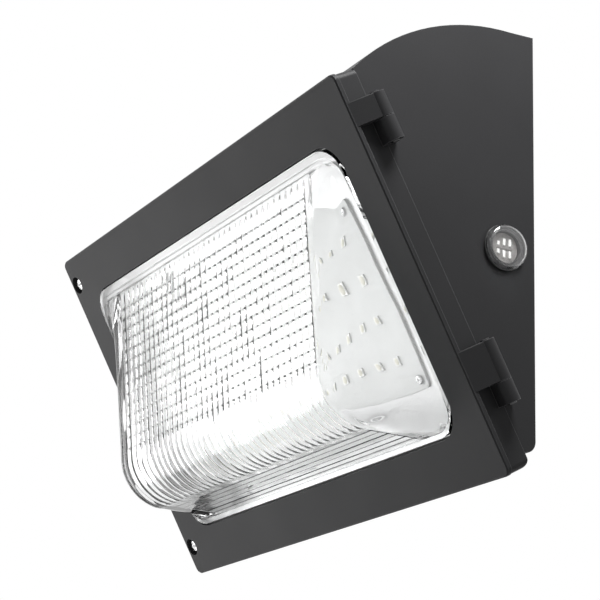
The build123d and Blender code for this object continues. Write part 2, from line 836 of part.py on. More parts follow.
def make_chips():
    spots = GridLocations(chip_pitch_x, chip_pitch_y, chip_columns, chip_rows)
    chip = Box(chip_size, chip_size, chip_height, align=(Align.CENTER, Align.CENTER, Align.MIN))
    return Compound([Pos(0, 0, board_top) * spot * chip for spot in spots.locations])


def make_board_screws():
    screw = pan_screw(board_screw_r, board_screw_length, board_head_r, board_head_height)
    return Compound([Pos(x, y, board_top) * screw for x, y in board_screw_places()])


def make_grommet():
    """Rubber ring in the tray's floor that the board's leads come through."""
    through = RegularPolygon(grommet_r, 12) - RegularPolygon(grommet_bore_r, 12)
    lip = RegularPolygon(grommet_r + grommet_lip, 12) - RegularPolygon(grommet_bore_r, 12)
    low = tray_floor - tray_thickness
    ring = slab(through, low, tray_floor)
    ring += slab(lip, low - grommet_lip, low) + slab(lip, tray_floor, tray_floor + grommet_lip)
    return Pos(grommet_x, grommet_y, 0) * ring


# ---------------------------------------------------------------- driver and wiring
driver_back = -(housing_wall + driver_pad)
driver_front = driver_back - driver_depth


def make_driver():
    case = Pos(0, (driver_back + driver_front) / 2, driver_z) * Box(driver_length, driver_depth, driver_height)
    case = chamfer(case.edges().filter_by(Axis.X), driver_corner_r)
    ear = Pos(0, driver_back - driver_ear_thickness / 2, driver_z) * Box(
        driver_length + 2 * driver_ear, driver_ear_thickness, driver_ear * 1.6
    )
    driver = case + ear
    for side in (-1, 1):
        x = side * (driver_length / 2 + driver_ear / 2)
        driver -= wall_peg(
            driver_screw_r + fastener_gap, driver_back - driver_ear_thickness - 1, driver_back + 1, x, driver_z
        )
    return driver


def facing_room(screw, x, y, z):
    """A screw driven towards the wall, with its head on the plane y."""
    return Pos(x, y, z) * Rot(90, 0, 0) * screw


def make_driver_screws():
    screw = pan_screw(driver_screw_r, driver_screw_length, driver_head_r, driver_head_height)
    seat = driver_back - driver_ear_thickness
    xs = [side * (driver_length / 2 + driver_ear / 2) for side in (-1, 1)]
    return Compound([facing_room(screw, x, seat, driver_z) for x in xs])


def make_ground_screw():
    screw = pan_screw(ground_screw_r, ground_screw_length, ground_head_r, ground_head_height)
    return facing_room(screw, ground_x, -housing_wall - ground_post_height, ground_z)


def connector_place(index):
    return (connector_x + (index - 1) * connector_pitch, connector_y, connector_z)


def make_connectors():
    """Three twist-on wire connectors, mouths up."""
    cones = []
    for index in range(3):
        x, y, z = connector_place(index)
        cone = flat_sided_cone(connector_tip_r, connector_mouth_r, connector_length, 8)
        cones.append(Pos(x, y, z - connector_length) * cone)
    return Compound(cones)


def corner_radii(points):
    """Arc radius at each corner: 0.45 of the shorter run over the tangent of half the turn."""
    radii = []
    for before, here, after in zip(points, points[1:], points[2:]):
        a = Vector(*here) - Vector(*before)
        b = Vector(*after) - Vector(*here)
        turn = radians(a.get_angle(b))
        radii.append(0.45 * min(a.length, b.length) / tan(turn / 2))
    return radii


def lead(points, name):
    """One insulated wire along straight runs joined by tangent arcs."""
    radii = corner_radii(points)
    print(name, "bend radii", [round(r, 1) for r in radii])
    path = FilletPolyline(*points, radius=radii)
    start = Vector(*points[1]) - Vector(*points[0])
    section = Plane(origin=points[0], z_dir=start) * RegularPolygon(lead_r, 5)
    wire = sweep(section, path=path)
    print(name, "volume over section times length", round(wire.volume / (section.area * path.length), 3))
    return wire


def make_photocell_leads():
    """Three wires from the photocell's barrel to the wire connectors."""
    start_x = body_width / 2 + photocell_gasket_thickness - photocell_barrel_length
    wires = []
    for index in range(3):
        cx, cy, cz = connector_place(index)
        y = photocell_y + (index - 1) * lead_pitch
        points = [
            (start_x, y, photocell_z),
            (start_x - cell_lead_out - lead_fan * index, y, photocell_z),
            (start_x - cell_lead_turn, y - lead_fan, photocell_z + cell_lead_lift + lead_fan * index),
            (cx + lead_drop_in, cy + 2 * lead_r, cz + lead_over + lead_fan * index),
            (cx + lead_splay, cy, cz + lead_drop_in),
            (cx + lead_splay, cy, cz),
        ]
        wires.append(lead(points, f"photocell lead {index}"))
    return Compound(wires)


def make_driver_leads():
    """Wires from the driver's right end down to the wire connectors."""
    wires = []
    for index in range(3):
        cx, cy, cz = connector_place(index)
        z = driver_z + (index - 1) * lead_pitch
        y = (driver_back + driver_front) / 2
        out = driver_lead_out - driver_lead_fan * index
        points = [
            (driver_length / 2, y, z),
            (driver_length / 2 + out, y, z),
            (driver_length / 2 + out - 2 * lead_r, y - driver_lead_forward, z - driver_lead_drop),
            (cx + 8 * lead_r + 2 * lead_r * index, cy - 4 * lead_r, cz + lead_over),
            (cx - lead_splay, cy, cz + lead_drop_in - driver_lead_fan),
            (cx - lead_splay, cy, cz),
        ]
        wires.append(lead(points, f"driver lead {index}"))
    return Compound(wires)


def make_led_connector():
    """Push-in socket on the board's upper edge, below the grommet."""
    middle = board_height / 2 - socket_inset - socket_length / 2
    return Pos(grommet_x, middle, board_top + socket_height / 2) * Box(socket_width, socket_length, socket_height)


def make_led_leads():
    """Pair from the driver's left end, through the grommet, to the socket on the board."""
    wires = []
    for side in (-1, 1):
        x = grommet_x + side * led_lead_offset
        height = board_top + socket_height / 2
        socket_face = board_height / 2 - socket_inset
        local = [
            (x, grommet_y, tray_floor - led_lead_behind),
            (x, grommet_y, height),
            (x, socket_face, height),
        ]
        tail = [tuple(door_plane.from_local_coords(Vector(*point))) for point in local]
        z = driver_z + side * led_lead_offset
        y = (driver_back + driver_front) / 2
        points = [
            (-driver_length / 2, y, z),
            (-driver_length / 2 - led_lead_out, y, z),
            (-driver_length / 2 - led_lead_turn, y - led_lead_forward, z - lead_fan),
        ] + tail
        wires.append(lead(points, f"board lead {side}"))
    return Compound(wires)


# ---------------------------------------------------------------- photocell and plug
side_face = body_width / 2


def on_sensor_axis(solid):
    """Stand a piece drawn along Z on the right-hand side face, at the sensor's axis."""
    return Pos(side_face, photocell_y, photocell_z) * Rot(0, 90, 0) * solid


ring_low = photocell_gasket_thickness
ring_high = ring_low + photocell_ring_height
recess_floor = ring_high - photocell_recess_depth
lens_low = ring_high - photocell_lens_seat


def make_photocell_body():
    body = rod(photocell_ring_r, ring_low, ring_high)
    body += peg(photocell_barrel_r, ring_low - photocell_barrel_length, ring_low)
    body -= rod(photocell_eye_r, recess_floor, ring_high + 1)
    body -= rod(photocell_lens_r, lens_low, ring_high + 1)
    return on_sensor_axis(body)


def make_photocell_gasket():
    washer = Circle(photocell_ring_r - 0.6) - RegularPolygon(photocell_barrel_r + 0.1, 12)
    return on_sensor_axis(slab(washer, 0, ring_low))


def make_photocell_lens():
    """Clear cap: a disc seated in the ring, with a low dome of three rings of facets over it."""
    disc_r = photocell_lens_r - fastener_gap
    lens = slab(RegularPolygon(disc_r, 24), lens_low, ring_high)
    below_share, below = 1.0, ring_high
    for share in (0.85, 0.6, 0.25):
        level = ring_high + photocell_lens_rise * sqrt(1 - share**2)
        lens += Pos(0, 0, below) * flat_sided_cone(disc_r * below_share, disc_r * share, level - below, 24)
        below_share, below = share, level
    return on_sensor_axis(lens)


def make_photocell_sensor():
    """Sensing disc on the recess floor, with its raised cross of contacts."""
    disc = on_sensor_axis(rod(photocell_sensor_r, recess_floor, recess_floor + photocell_sensor_height))
    top = side_face + recess_floor + photocell_sensor_height
    centre_x = top + photocell_bar_height / 2
    for side in (-1, 1):
        z = photocell_z + side * photocell_rail_gap / 2
        disc += Pos(centre_x, photocell_y, z) * Box(photocell_bar_height, photocell_sensor_r, photocell_bar)
    for column in (-1, 0, 1):
        y = photocell_y + column * photocell_bar_gap
        disc += Pos(centre_x, y, photocell_z) * Box(photocell_bar_height, photocell_bar, photocell_bar_length)
    return disc


def make_photocell_nut():
    inner_face = -housing_wall
    hexagon = RegularPolygon(nut_across_flats / 2, 6, major_radius=False)
    bore = RegularPolygon(photocell_barrel_r + fastener_gap, 12)
    nut = slab(hexagon - bore, inner_face - nut_thickness, inner_face)
    return Pos(side_face, photocell_y, photocell_z) * Rot(0, 90, 0) * nut


def make_conduit_plug():
    """Slotted plug in the left side entry."""
    head = slab(Circle(plug_head_r), 0, plug_head_height)
    head = chamfer(head.edges().sort_by(Axis.Z)[-1], 0.8)
    plug = head + peg(entry_r - plug_gap, -(entry_boss_depth + housing_wall), 0)
    plug -= Pos(0, 0, plug_head_height) * Box(plug_head_r * 1.5, plug_slot_width, 2 * plug_slot_depth)
    return Pos(-side_face, photocell_y, photocell_z) * Rot(0, -90, 0) * plug


# ---------------------------------------------------------------- hinge pins and captive screws
def make_pin(ear, knuckle):
    """Pin pressed in the housing's knuckle and running in the door's."""
    return along_hinge(hinge_pin_r, (ear[0] - pin_end_stand, knuckle[1] + pin_end_stand))


def make_captive_screw(drop):
    """Pan head, thin neck that the door keeps, and the threaded end below it."""
    shoulder = screw_floor_top + screw_head_height * 0.6
    crown = flat_sided_cone(screw_head_r, screw_head_r * 0.72, screw_head_height * 0.4, 20)
    head = slab(RegularPolygon(screw_head_r, 20), screw_floor_top, shoulder) + Pos(0, 0, shoulder) * crown
    neck = peg(screw_neck_r, neck_end, screw_floor_top)
    thread = peg(screw_thread_r, thread_end, neck_end)
    return Pos(screw_x, up(drop), 0) * (head + neck + thread)


# ---------------------------------------------------------------- write the pieces
def main():
    os.makedirs("parts", exist_ok=True)
    pieces = {
        "rear_housing": finish_housing(make_housing()),
        "door_gasket": door_place * make_door_gasket(),
        "reflector_tray": door_place * make_tray(),
        "tray_screws": door_place * make_tray_screws(),
        "led_board": door_place * make_board(),
        "led_chips": door_place * make_chips(),
        "board_screws": door_place * make_board_screws(),
        "led_lead_grommet": door_place * make_grommet(),
        "led_connector": door_place * make_led_connector(),
        "led_leads": make_led_leads(),
        "led_driver": make_driver(),
        "driver_screws": make_driver_screws(),
        "ground_screw": make_ground_screw(),
        "wire_connectors": make_connectors(),
        "photocell_leads": make_photocell_leads(),
        "driver_leads": make_driver_leads(),
        "photocell_body": make_photocell_body(),
        "photocell_gasket": make_photocell_gasket(),
        "photocell_lens": make_photocell_lens(),
        "photocell_sensor": make_photocell_sensor(),
        "photocell_nut": make_photocell_nut(),
        "conduit_plug": make_conduit_plug(),
        "hinge_pin_upper": door_place * make_pin(upper_ear, upper_knuckle),
        "hinge_pin_lower": door_place * make_pin(lower_ear, lower_knuckle),
        "door_frame": door_place * make_door_frame(),
        "glass_refractor": door_place * make_glass(),
        "lens_gasket": door_place * make_lens_gasket(),
        "lens_clips": door_place * make_lens_clips(),
        "lens_clip_screws": door_place * make_lens_clip_screws(),
        "captive_screw_upper": door_place * make_captive_screw(screw_drops[0]),
        "captive_screw_lower": door_place * make_captive_screw(screw_drops[1]),
    }
    for name, shape in pieces.items():
        export_step(shape, f"parts/{name}.step")


main()
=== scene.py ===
import bpy
import bmesh
import json
import math
from mathutils import Matrix, Vector


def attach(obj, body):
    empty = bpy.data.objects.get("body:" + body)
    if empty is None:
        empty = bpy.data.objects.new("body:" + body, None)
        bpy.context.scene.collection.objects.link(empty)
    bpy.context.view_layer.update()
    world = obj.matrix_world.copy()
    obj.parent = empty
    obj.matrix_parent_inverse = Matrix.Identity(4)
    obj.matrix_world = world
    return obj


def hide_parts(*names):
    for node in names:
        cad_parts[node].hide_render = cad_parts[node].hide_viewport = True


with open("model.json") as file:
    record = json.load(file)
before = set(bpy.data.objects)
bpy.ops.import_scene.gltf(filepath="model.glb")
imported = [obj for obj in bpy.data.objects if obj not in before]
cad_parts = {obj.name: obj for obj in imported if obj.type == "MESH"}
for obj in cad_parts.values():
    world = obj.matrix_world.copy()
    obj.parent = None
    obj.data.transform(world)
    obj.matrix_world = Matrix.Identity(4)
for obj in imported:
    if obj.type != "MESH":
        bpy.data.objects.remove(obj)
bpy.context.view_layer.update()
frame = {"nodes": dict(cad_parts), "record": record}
nodes = frame["nodes"]
mm = 0.001
print("frame loaded")

# where the camera stands, and its right and up directions
view = {
    "place": (0.99241, -0.57969, -0.35624),
    "right": (0.48673, 0.87317, 0.02576),
    "up": (0.24244, -0.16335, 0.95631),
    "lens": 118.757,
    "shiftX": -0.0224,
    "shiftY": 0.0490,
    "sensorWidth": 36,
    "clip": (0.01, 50),
}


def makeCamera():
    lens = bpy.data.cameras.new("camera")
    lens.lens = view["lens"]
    lens.sensor_width = view["sensorWidth"]
    lens.shift_x = view["shiftX"]
    lens.shift_y = view["shiftY"]
    lens.clip_start, lens.clip_end = view["clip"]
    camera = bpy.data.objects.new("camera", lens)
    right = Vector(view["right"]).normalized()
    up = Vector(view["up"]).normalized()
    back = right.cross(up)
    turn = Matrix((right, up, back)).transposed()
    camera.matrix_world = Matrix.Translation(view["place"]) @ turn.to_4x4()
    bpy.context.scene.collection.objects.link(camera)
    bpy.context.scene.camera = camera


makeCamera()
print("camera placed")

# the door's own directions: x right, drop down the door, out of its face (mm)
door = {"tilt": 29.2, "topDepth": 128.9, "topHeight": 63.5}
tilt = math.radians(door["tilt"])
downDoor = Vector((0, math.sin(tilt), -math.cos(tilt)))
outOfDoor = Vector((0, -math.cos(tilt), -math.sin(tilt)))
doorTop = Vector((0, -door["topDepth"], door["topHeight"]))


def onDoor(x, drop, out):  # a point of the door's frame in mm, as a place in metres
    return (doorTop + Vector((x, 0, 0)) + downDoor * drop + outOfDoor * out) * mm


def smoothStep(low, high, value):
    share = min(max((value - low) / (high - low), 0.0), 1.0)
    return share * share * (3 - 2 * share)


def newGroup(name, ins, outs):  # ins and outs: (name, kind, default)
    group = bpy.data.node_groups.new(name, "ShaderNodeTree")
    for label, kind, value in ins:
        socket = group.interface.new_socket(label, in_out="INPUT", socket_type=kind)
        socket.default_value = value
    for label, kind in outs:
        group.interface.new_socket(label, in_out="OUTPUT", socket_type=kind)
    start = group.nodes.new("NodeGroupInput")
    end = group.nodes.new("NodeGroupOutput")
    return group, start, end


def addNode(tree, kind, inputs=None, **settings):
    node = tree.nodes.new(kind)
    for key, value in settings.items():
        setattr(node, key, value)
    for key, value in (inputs or {}).items():
        socket = node.inputs[key]
        if isinstance(value, bpy.types.NodeSocket):
            tree.links.new(value, socket)
        else:
            socket.default_value = value
    return node


def mathNode(tree, operation, a, b=0.0, clamp=False):
    node = addNode(tree, "ShaderNodeMath", {0: a, 1: b}, operation=operation)
    node.use_clamp = clamp
    return node.outputs[0]


def noiseNode(tree, vector, scale, detail=2.0, roughness=0.5):
    inputs = {"Vector": vector, "Scale": scale, "Detail": detail, "Roughness": roughness}
    return addNode(tree, "ShaderNodeTexNoise", inputs).outputs["Fac"]


def makePowderCoatGroup():  # fine orange-peel of a powder coat, with a faint mottle of its colour
    group, start, end = newGroup(
        "powderCoatGrain",
        [
            ("Colour", "NodeSocketColor", (0.05, 0.05, 0.05, 1)),
            ("Grain Size", "NodeSocketFloat", 900.0),
            ("Grain Depth", "NodeSocketFloat", 0.0001),
            ("Mottle", "NodeSocketFloat", 0.1),
            ("Mottle Size", "NodeSocketFloat", 18.0),
            ("Roughness", "NodeSocketFloat", 0.5),
            ("Roughness Spread", "NodeSocketFloat", 0.1),
        ],
        [("Colour", "NodeSocketColor"), ("Roughness", "NodeSocketFloat"), ("Normal", "NodeSocketVector")],
    )
    place = addNode(group, "ShaderNodeTexCoord").outputs["Object"]
    fine = noiseNode(group, place, start.outputs["Grain Size"], 3.0, 0.6)
    broad = noiseNode(group, place, start.outputs["Mottle Size"], 3.0, 0.55)
    either = mathNode(group, "SUBTRACT", broad, 0.5)
    speckle = mathNode(group, "MULTIPLY", mathNode(group, "SUBTRACT", fine, 0.5), start.outputs["Mottle"])
    cloud = mathNode(group, "MULTIPLY", either, start.outputs["Mottle"])
    tone = mathNode(group, "ADD", mathNode(group, "ADD", speckle, cloud), 1.0)
    colour = addNode(group, "ShaderNodeVectorMath", operation="SCALE")
    group.links.new(start.outputs["Colour"], colour.inputs[0])
    group.links.new(tone, colour.inputs["Scale"])
    group.links.new(colour.outputs[0], end.inputs["Colour"])
    shift = mathNode(group, "MULTIPLY", either, start.outputs["Roughness Spread"])
    group.links.new(mathNode(group, "ADD", start.outputs["Roughness"], shift), end.inputs["Roughness"])
    bump = addNode(group, "ShaderNodeBump", {"Distance": start.outputs["Grain Depth"], "Height": fine})
    group.links.new(bump.outputs[0], end.inputs["Normal"])
    return group


def makePaintedEdgeHighlightGroup():  # painted highlight: a lighter colour along every edge, in place of the light line that lamps draw on rounded edges
    group, start, end = newGroup(
        "paintedEdgeHighlight",
        [
            ("Colour", "NodeSocketColor", (0.05, 0.05, 0.05, 1)),
            ("Edge Colour", "NodeSocketColor", (0.2, 0.2, 0.2, 1)),
            ("Edge Width", "NodeSocketFloat", 0.0006),
            ("Edge Amount", "NodeSocketFloat", 0.6),
        ],
        [("Colour", "NodeSocketColor")],
    )
    rounded = addNode(group, "ShaderNodeBevel", {"Radius": start.outputs["Edge Width"]}, samples=6)
    plain = addNode(group, "ShaderNodeNewGeometry").outputs["Normal"]
    alike = addNode(group, "ShaderNodeVectorMath", operation="DOT_PRODUCT")
    group.links.new(rounded.outputs[0], alike.inputs[0])
    group.links.new(plain, alike.inputs[1])
    outside, inside = 0.985, 0.9  # how alike the rounded and the plain normal are at each side of the band
    limits = {"Value": alike.outputs["Value"], "From Min": outside, "From Max": inside}
    edge = addNode(group, "ShaderNodeMapRange", limits).outputs["Result"]
    share = mathNode(group, "MULTIPLY", edge, start.outputs["Edge Amount"], clamp=True)
    mix = addNode(group, "ShaderNodeMix", data_type="RGBA")
    group.links.new(share, mix.inputs[0])
    group.links.new(start.outputs["Colour"], mix.inputs[6])
    group.links.new(start.outputs["Edge Colour"], mix.inputs[7])
    group.links.new(mix.outputs[2], end.inputs["Colour"])
    return group


def makeRubGroup():  # soft change of tone and gloss, as handling leaves it
    group, start, end = newGroup(
        "rubbedTone",
        [
            ("Colour", "NodeSocketColor", (0.5, 0.5, 0.5, 1)),
            ("Worn Colour", "NodeSocketColor", (0.6, 0.6, 0.6, 1)),
            ("Size", "NodeSocketFloat", 60.0),
            ("Amount", "NodeSocketFloat", 0.3),
            ("Roughness", "NodeSocketFloat", 0.4),
            ("Roughness Spread", "NodeSocketFloat", 0.1),
            ("Depth", "NodeSocketFloat", 0.00005),
        ],
        [("Colour", "NodeSocketColor"), ("Roughness", "NodeSocketFloat"), ("Normal", "NodeSocketVector")],
    )
    place = addNode(group, "ShaderNodeTexCoord").outputs["Object"]
    cloud = noiseNode(group, place, start.outputs["Size"], 4.0, 0.6)
    share = mathNode(group, "MULTIPLY", cloud, start.outputs["Amount"], clamp=True)
    mix = addNode(group, "ShaderNodeMix", data_type="RGBA")
    group.links.new(share, mix.inputs[0])
    group.links.new(start.outputs["Colour"], mix.inputs[6])
    group.links.new(start.outputs["Worn Colour"], mix.inputs[7])
    group.links.new(mix.outputs[2], end.inputs["Colour"])
    either = mathNode(group, "SUBTRACT", cloud, 0.5)
    spread = mathNode(group, "MULTIPLY", either, start.outputs["Roughness Spread"])
    group.links.new(mathNode(group, "ADD", start.outputs["Roughness"], spread), end.inputs["Roughness"])
    bump = addNode(group, "ShaderNodeBump", {"Distance": start.outputs["Depth"], "Height": cloud})
    group.links.new(bump.outputs[0], end.inputs["Normal"])
    return group


powderCoatGrain = makePowderCoatGroup()
rubbedTone = makeRubGroup()
paintedEdgeHighlight = makePaintedEdgeHighlightGroup()


def newMaterial(name):
    material = bpy.data.materials.new(name)
    material.use_nodes = True
    tree = material.node_tree
    return material, tree, tree.nodes["Principled BSDF"], tree.nodes["Material Output"]


def groupNode(tree, group, **values):
    node = tree.nodes.new("ShaderNodeGroup")
    node.node_tree = group
    for key, value in values.items():
        node.inputs[key.replace("_", " ")].default_value = value
    return node


def linkGroup(tree, node, shader, tone=None):  # tone: a later group that gives the colour instead
    tree.links.new((tone or node).outputs["Colour"], shader.inputs["Base Color"])
    tree.links.new(node.outputs["Roughness"], shader.inputs["Roughness"])
    tree.links.new(node.outputs["Normal"], shader.inputs["Normal"])


powderCoat = {
    "colour": (0.038, 0.038, 0.0395, 1),
    "grainSize": 1500.0,
    "grainDepth": 0.00005,
    "mottle": 0.2,
    "mottleSize": 18.0,
    "roughness": 0.46,
    "roughnessSpread": 0.16,
    "specular": 0.1,
    # the edge colour, width and amount give a painted highlight, a lighter colour along every edge of the
    # coat
    "edgeHighlightColour": (0.2, 0.2, 0.205, 1),
    "edgeHighlightWidth": 0.55,
    "edgeHighlightAmount": 0.75,
}


def makePowderCoatMaterial():
    material, tree, shader, _ = newMaterial("powderCoatCharcoal")
    node = groupNode(
        tree,
        powderCoatGrain,
        Colour=powderCoat["colour"],
        Grain_Size=powderCoat["grainSize"],
        Grain_Depth=powderCoat["grainDepth"],
        Mottle=powderCoat["mottle"],
        Mottle_Size=powderCoat["mottleSize"],
        Roughness=powderCoat["roughness"],
        Roughness_Spread=powderCoat["roughnessSpread"],
    )
    # painted highlight: a lighter colour along the coat's edges
    edge = groupNode(
        tree,
        paintedEdgeHighlight,
        Edge_Colour=powderCoat["edgeHighlightColour"],
        Edge_Width=powderCoat["edgeHighlightWidth"] * mm,
        Edge_Amount=powderCoat["edgeHighlightAmount"],
    )
    tree.links.new(node.outputs["Colour"], edge.inputs["Colour"])
    linkGroup(tree, node, shader, edge)
    shader.inputs["Specular IOR Level"].default_value = powderCoat["specular"]
    return material


# size, amount and depth are of the cloudy wear; spread is how far it changes the roughness
rubbedLooks = {
    "blackSilicone": {
        "colour": (0.012, 0.012, 0.012), "worn": (0.02, 0.02, 0.02),
        "size": 90, "amount": 0.6, "roughness": 0.6, "spread": 0.2, "depth": 0.00004,
    },
    "brightZinc": {
        "colour": (0.80, 0.80, 0.81), "worn": (0.55, 0.55, 0.54),
        "size": 240, "amount": 0.7, "roughness": 0.24, "spread": 0.2, "depth": 0.00002, "metallic": 1.0,
    },
    "glossWhiteReflector": {
        "colour": (0.82, 0.82, 0.82), "worn": (0.77, 0.77, 0.77),
        "size": 30, "amount": 0.5, "roughness": 0.42, "spread": 0.1, "depth": 0.00002, "metallic": 0.6,
    },
    "whiteBoard": {
        "colour": (0.80, 0.805, 0.80), "worn": (0.75, 0.76, 0.75),
        "size": 120, "amount": 0.6, "roughness": 0.5, "spread": 0.1, "depth": 0.00001, "metallic": 0.35,
    },
    "palePhosphor": {
        "colour": (0.94, 0.93, 0.84), "worn": (0.93, 0.90, 0.76),
        "size": 800, "amount": 0.7, "roughness": 0.45, "spread": 0.1, "depth": 0.00002,
    },
    "whiteNylon": {
        "colour": (0.80, 0.80, 0.77), "worn": (0.72, 0.71, 0.67),
        "size": 150, "amount": 0.5, "roughness": 0.4, "spread": 0.1, "depth": 0.00002,
    },
    "blackLeadInsulation": {
        "colour": (0.03, 0.03, 0.032), "worn": (0.06, 0.06, 0.06),
        "size": 120, "amount": 0.4, "roughness": 0.38, "spread": 0.1, "depth": 0.00002,
    },
    "paintedDriverCase": {
        "colour": (0.78, 0.79, 0.78), "worn": (0.70, 0.71, 0.70),
        "size": 60, "amount": 0.5, "roughness": 0.42, "spread": 0.15, "depth": 0.00003,
    },
    "greenGroundScrew": {
        "colour": (0.03, 0.28, 0.09), "worn": (0.10, 0.34, 0.15),
        "size": 300, "amount": 0.6, "roughness": 0.36, "spread": 0.2, "depth": 0.00003, "metallic": 0.7,
    },
    "orangeConnector": {
        "colour": (0.75, 0.22, 0.03), "worn": (0.66, 0.17, 0.02),
        "size": 200, "amount": 0.5, "roughness": 0.5, "spread": 0.1, "depth": 0.00004,
    },
    "blackMouldedPlastic": {
        "colour": (0.014, 0.014, 0.015), "worn": (0.028, 0.028, 0.028),
        "size": 260, "amount": 0.5, "roughness": 0.36, "spread": 0.12, "depth": 0.00003,
    },
    "sensorCeramic": {
        "colour": (0.20, 0.19, 0.18), "worn": (0.12, 0.12, 0.12),
        "size": 500, "amount": 0.6, "roughness": 0.4, "spread": 0.15, "depth": 0.00003,
    },
    "blackenedSteel": {
        "colour": (0.05, 0.05, 0.052), "worn": (0.16, 0.16, 0.16),
        "size": 500, "amount": 0.6, "roughness": 0.36, "spread": 0.2, "depth": 0.00002, "metallic": 0.9,
    },
    "brightContact": {
        "colour": (0.92, 0.92, 0.90), "worn": (0.80, 0.80, 0.78),
        "size": 600, "amount": 0.4, "roughness": 0.25, "spread": 0.1, "depth": 0.00001, "metallic": 0.6,
    },
    "chipCeramic": {
        "colour": (0.90, 0.90, 0.88), "worn": (0.84, 0.84, 0.82),
        "size": 900, "amount": 0.5, "roughness": 0.35, "spread": 0.1, "depth": 0.00001, "metallic": 0.35,
    },
}


def makeRubbedMaterial(name, colour, worn, size, amount, roughness, spread, depth, metallic=0.0):
    material, tree, shader, _ = newMaterial(name)
    node = groupNode(
        tree,
        rubbedTone,
        Colour=(*colour, 1),
        Worn_Colour=(*worn, 1),
        Size=size,
        Amount=amount,
        Roughness=roughness,
        Roughness_Spread=spread,
        Depth=depth,
    )
    linkGroup(tree, node, shader)
    shader.inputs["Metallic"].default_value = metallic
    return material


glassLook = {
    "ior": 1.45, "roughness": 0.0, "colour": (0.99, 0.995, 0.995, 1),
    "waveSize": 45.0, "waveDepth": 0.0005,
}
domeLook = {
    "ior": 1.49, "roughness": 0.02, "colour": (0.97, 0.97, 0.97, 1),
    "waveSize": 200.0, "waveDepth": 0.00003,
}
shadowTint = (0.985, 0.99, 0.99, 1)  # what a clear piece leaves of the light that falls through it


def makeGlassMaterial(name, look):
    material, tree, shader, output = newMaterial(name)
    shader.inputs["Base Color"].default_value = look["colour"]
    shader.inputs["Roughness"].default_value = look["roughness"]
    shader.inputs["IOR"].default_value = look["ior"]
    shader.inputs["Transmission Weight"].default_value = 1.0
    place = addNode(tree, "ShaderNodeTexCoord").outputs["Object"]
    wave = noiseNode(tree, place, look["waveSize"], 1.0)
    bump = addNode(tree, "ShaderNodeBump", {"Distance": look["waveDepth"], "Height": wave})
    tree.links.new(bump.outputs[0], shader.inputs["Normal"])
    clear = addNode(tree, "ShaderNodeBsdfTransparent", {"Color": shadowTint})
    path = addNode(tree, "ShaderNodeLightPath")
    mix = addNode(tree, "ShaderNodeMixShader", {0: path.outputs["Is Shadow Ray"]})
    tree.links.new(shader.outputs[0], mix.inputs[1])
    tree.links.new(clear.outputs[0], mix.inputs[2])
    tree.links.new(mix.outputs[0], output.inputs["Surface"])
    return material


coatMaterial = makePowderCoatMaterial()
glassMaterial = makeGlassMaterial("pressedGlass", glassLook)
clearPlastic = makeGlassMaterial("clearPlastic", domeLook)
finishes = {name: makeRubbedMaterial(name, **look) for name, look in rubbedLooks.items()}

slotMaterials = {
    "powder_coat": coatMaterial,
    "silicone": finishes["blackSilicone"],
    "glass": glassMaterial,
    "steel": finishes["brightZinc"],
    "white_reflector": finishes["glossWhiteReflector"],
    "white_board": finishes["whiteBoard"],
    "led": finishes["palePhosphor"],
    "white_plastic": finishes["whiteNylon"],
    "lead_insulation": finishes["blackLeadInsulation"],
    "driver_case": finishes["paintedDriverCase"],
    "ground_green": finishes["greenGroundScrew"],
    "connector_plastic": finishes["orangeConnector"],
    "black_plastic": finishes["blackMouldedPlastic"],
    "clear_plastic": clearPlastic,
    "sensor": finishes["sensorCeramic"],
}


def dressNodes():
    for entry in frame["record"]["subparts"]:
        piece = nodes[entry["node"]]
        piece.data.materials.clear()
        piece.data.materials.append(slotMaterials[entry["material_slot"]])
    for name in ("hinge_pin_upper", "hinge_pin_lower"):
        nodes[name].data.materials[0] = finishes["blackenedSteel"]


dressNodes()
print("materials made")


# how far the cast, moulded and sheet edges are rounded (mm)
edgeRounds = {
    "rear_housing": 0.7,
    "door_frame": 0.4,
    "door_gasket": 0.3,
    "lens_clips": 0.2,
    "led_connector": 0.3,
    "led_driver": 0.6,
    "led_board": 0.2,
    "conduit_plug": 0.3,
    "photocell_nut": 0.4,
    "hinge_pin_upper": 0.4,
    "hinge_pin_lower": 0.4,
}
edgeAngle = 32.0
weldReach = 0.002  # seam points of the CAD mesh nearer than this are joined


def weldSeams(node):
    weld = node.modifiers.new("weld", "WELD")
    weld.merge_threshold = weldReach * mm


def roundBy(piece, width):
    bevel = piece.modifiers.new("round", "BEVEL")
    bevel.width = width * mm
    bevel.segments = 2
    bevel.limit_method = "ANGLE"
    bevel.angle_limit = math.radians(edgeAngle)


def roundEdges():  # real rounds on the pieces that keep their CAD shape
    for name, width in edgeRounds.items():
        node = nodes[name]
        weldSeams(node)
        roundBy(node, width)
        smooth = node.modifiers.new("evenNormals", "WEIGHTED_NORMAL")
        smooth.keep_sharp = False
        node.data.shade_smooth()


def roundWires():  # the leads' five flats, rounded into wires
    for name in ("photocell_leads", "driver_leads", "led_leads"):
        node = nodes[name]
        weldSeams(node)
        fine = node.modifiers.new("roundWire", "SUBSURF")
        fine.levels = 1
        fine.render_levels = 1


roundEdges()
roundWires()


def newPiece(name, mesh, body, slot, replaced, materials=None, sharp=30.0):
    bmesh.ops.recalc_face_normals(mesh, faces=mesh.faces)
    data = bpy.data.meshes.new(name)
    mesh.to_mesh(data)
    mesh.free()
    data.shade_smooth()
    data.set_sharp_from_angle(angle=math.radians(sharp))
    for material in materials or [slotMaterials[slot]]:
        data.materials.append(material)
    piece = bpy.data.objects.new(name, data)
    bpy.context.scene.collection.objects.link(piece)
    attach(piece, body)
    if replaced:
        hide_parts(replaced)
    return piece


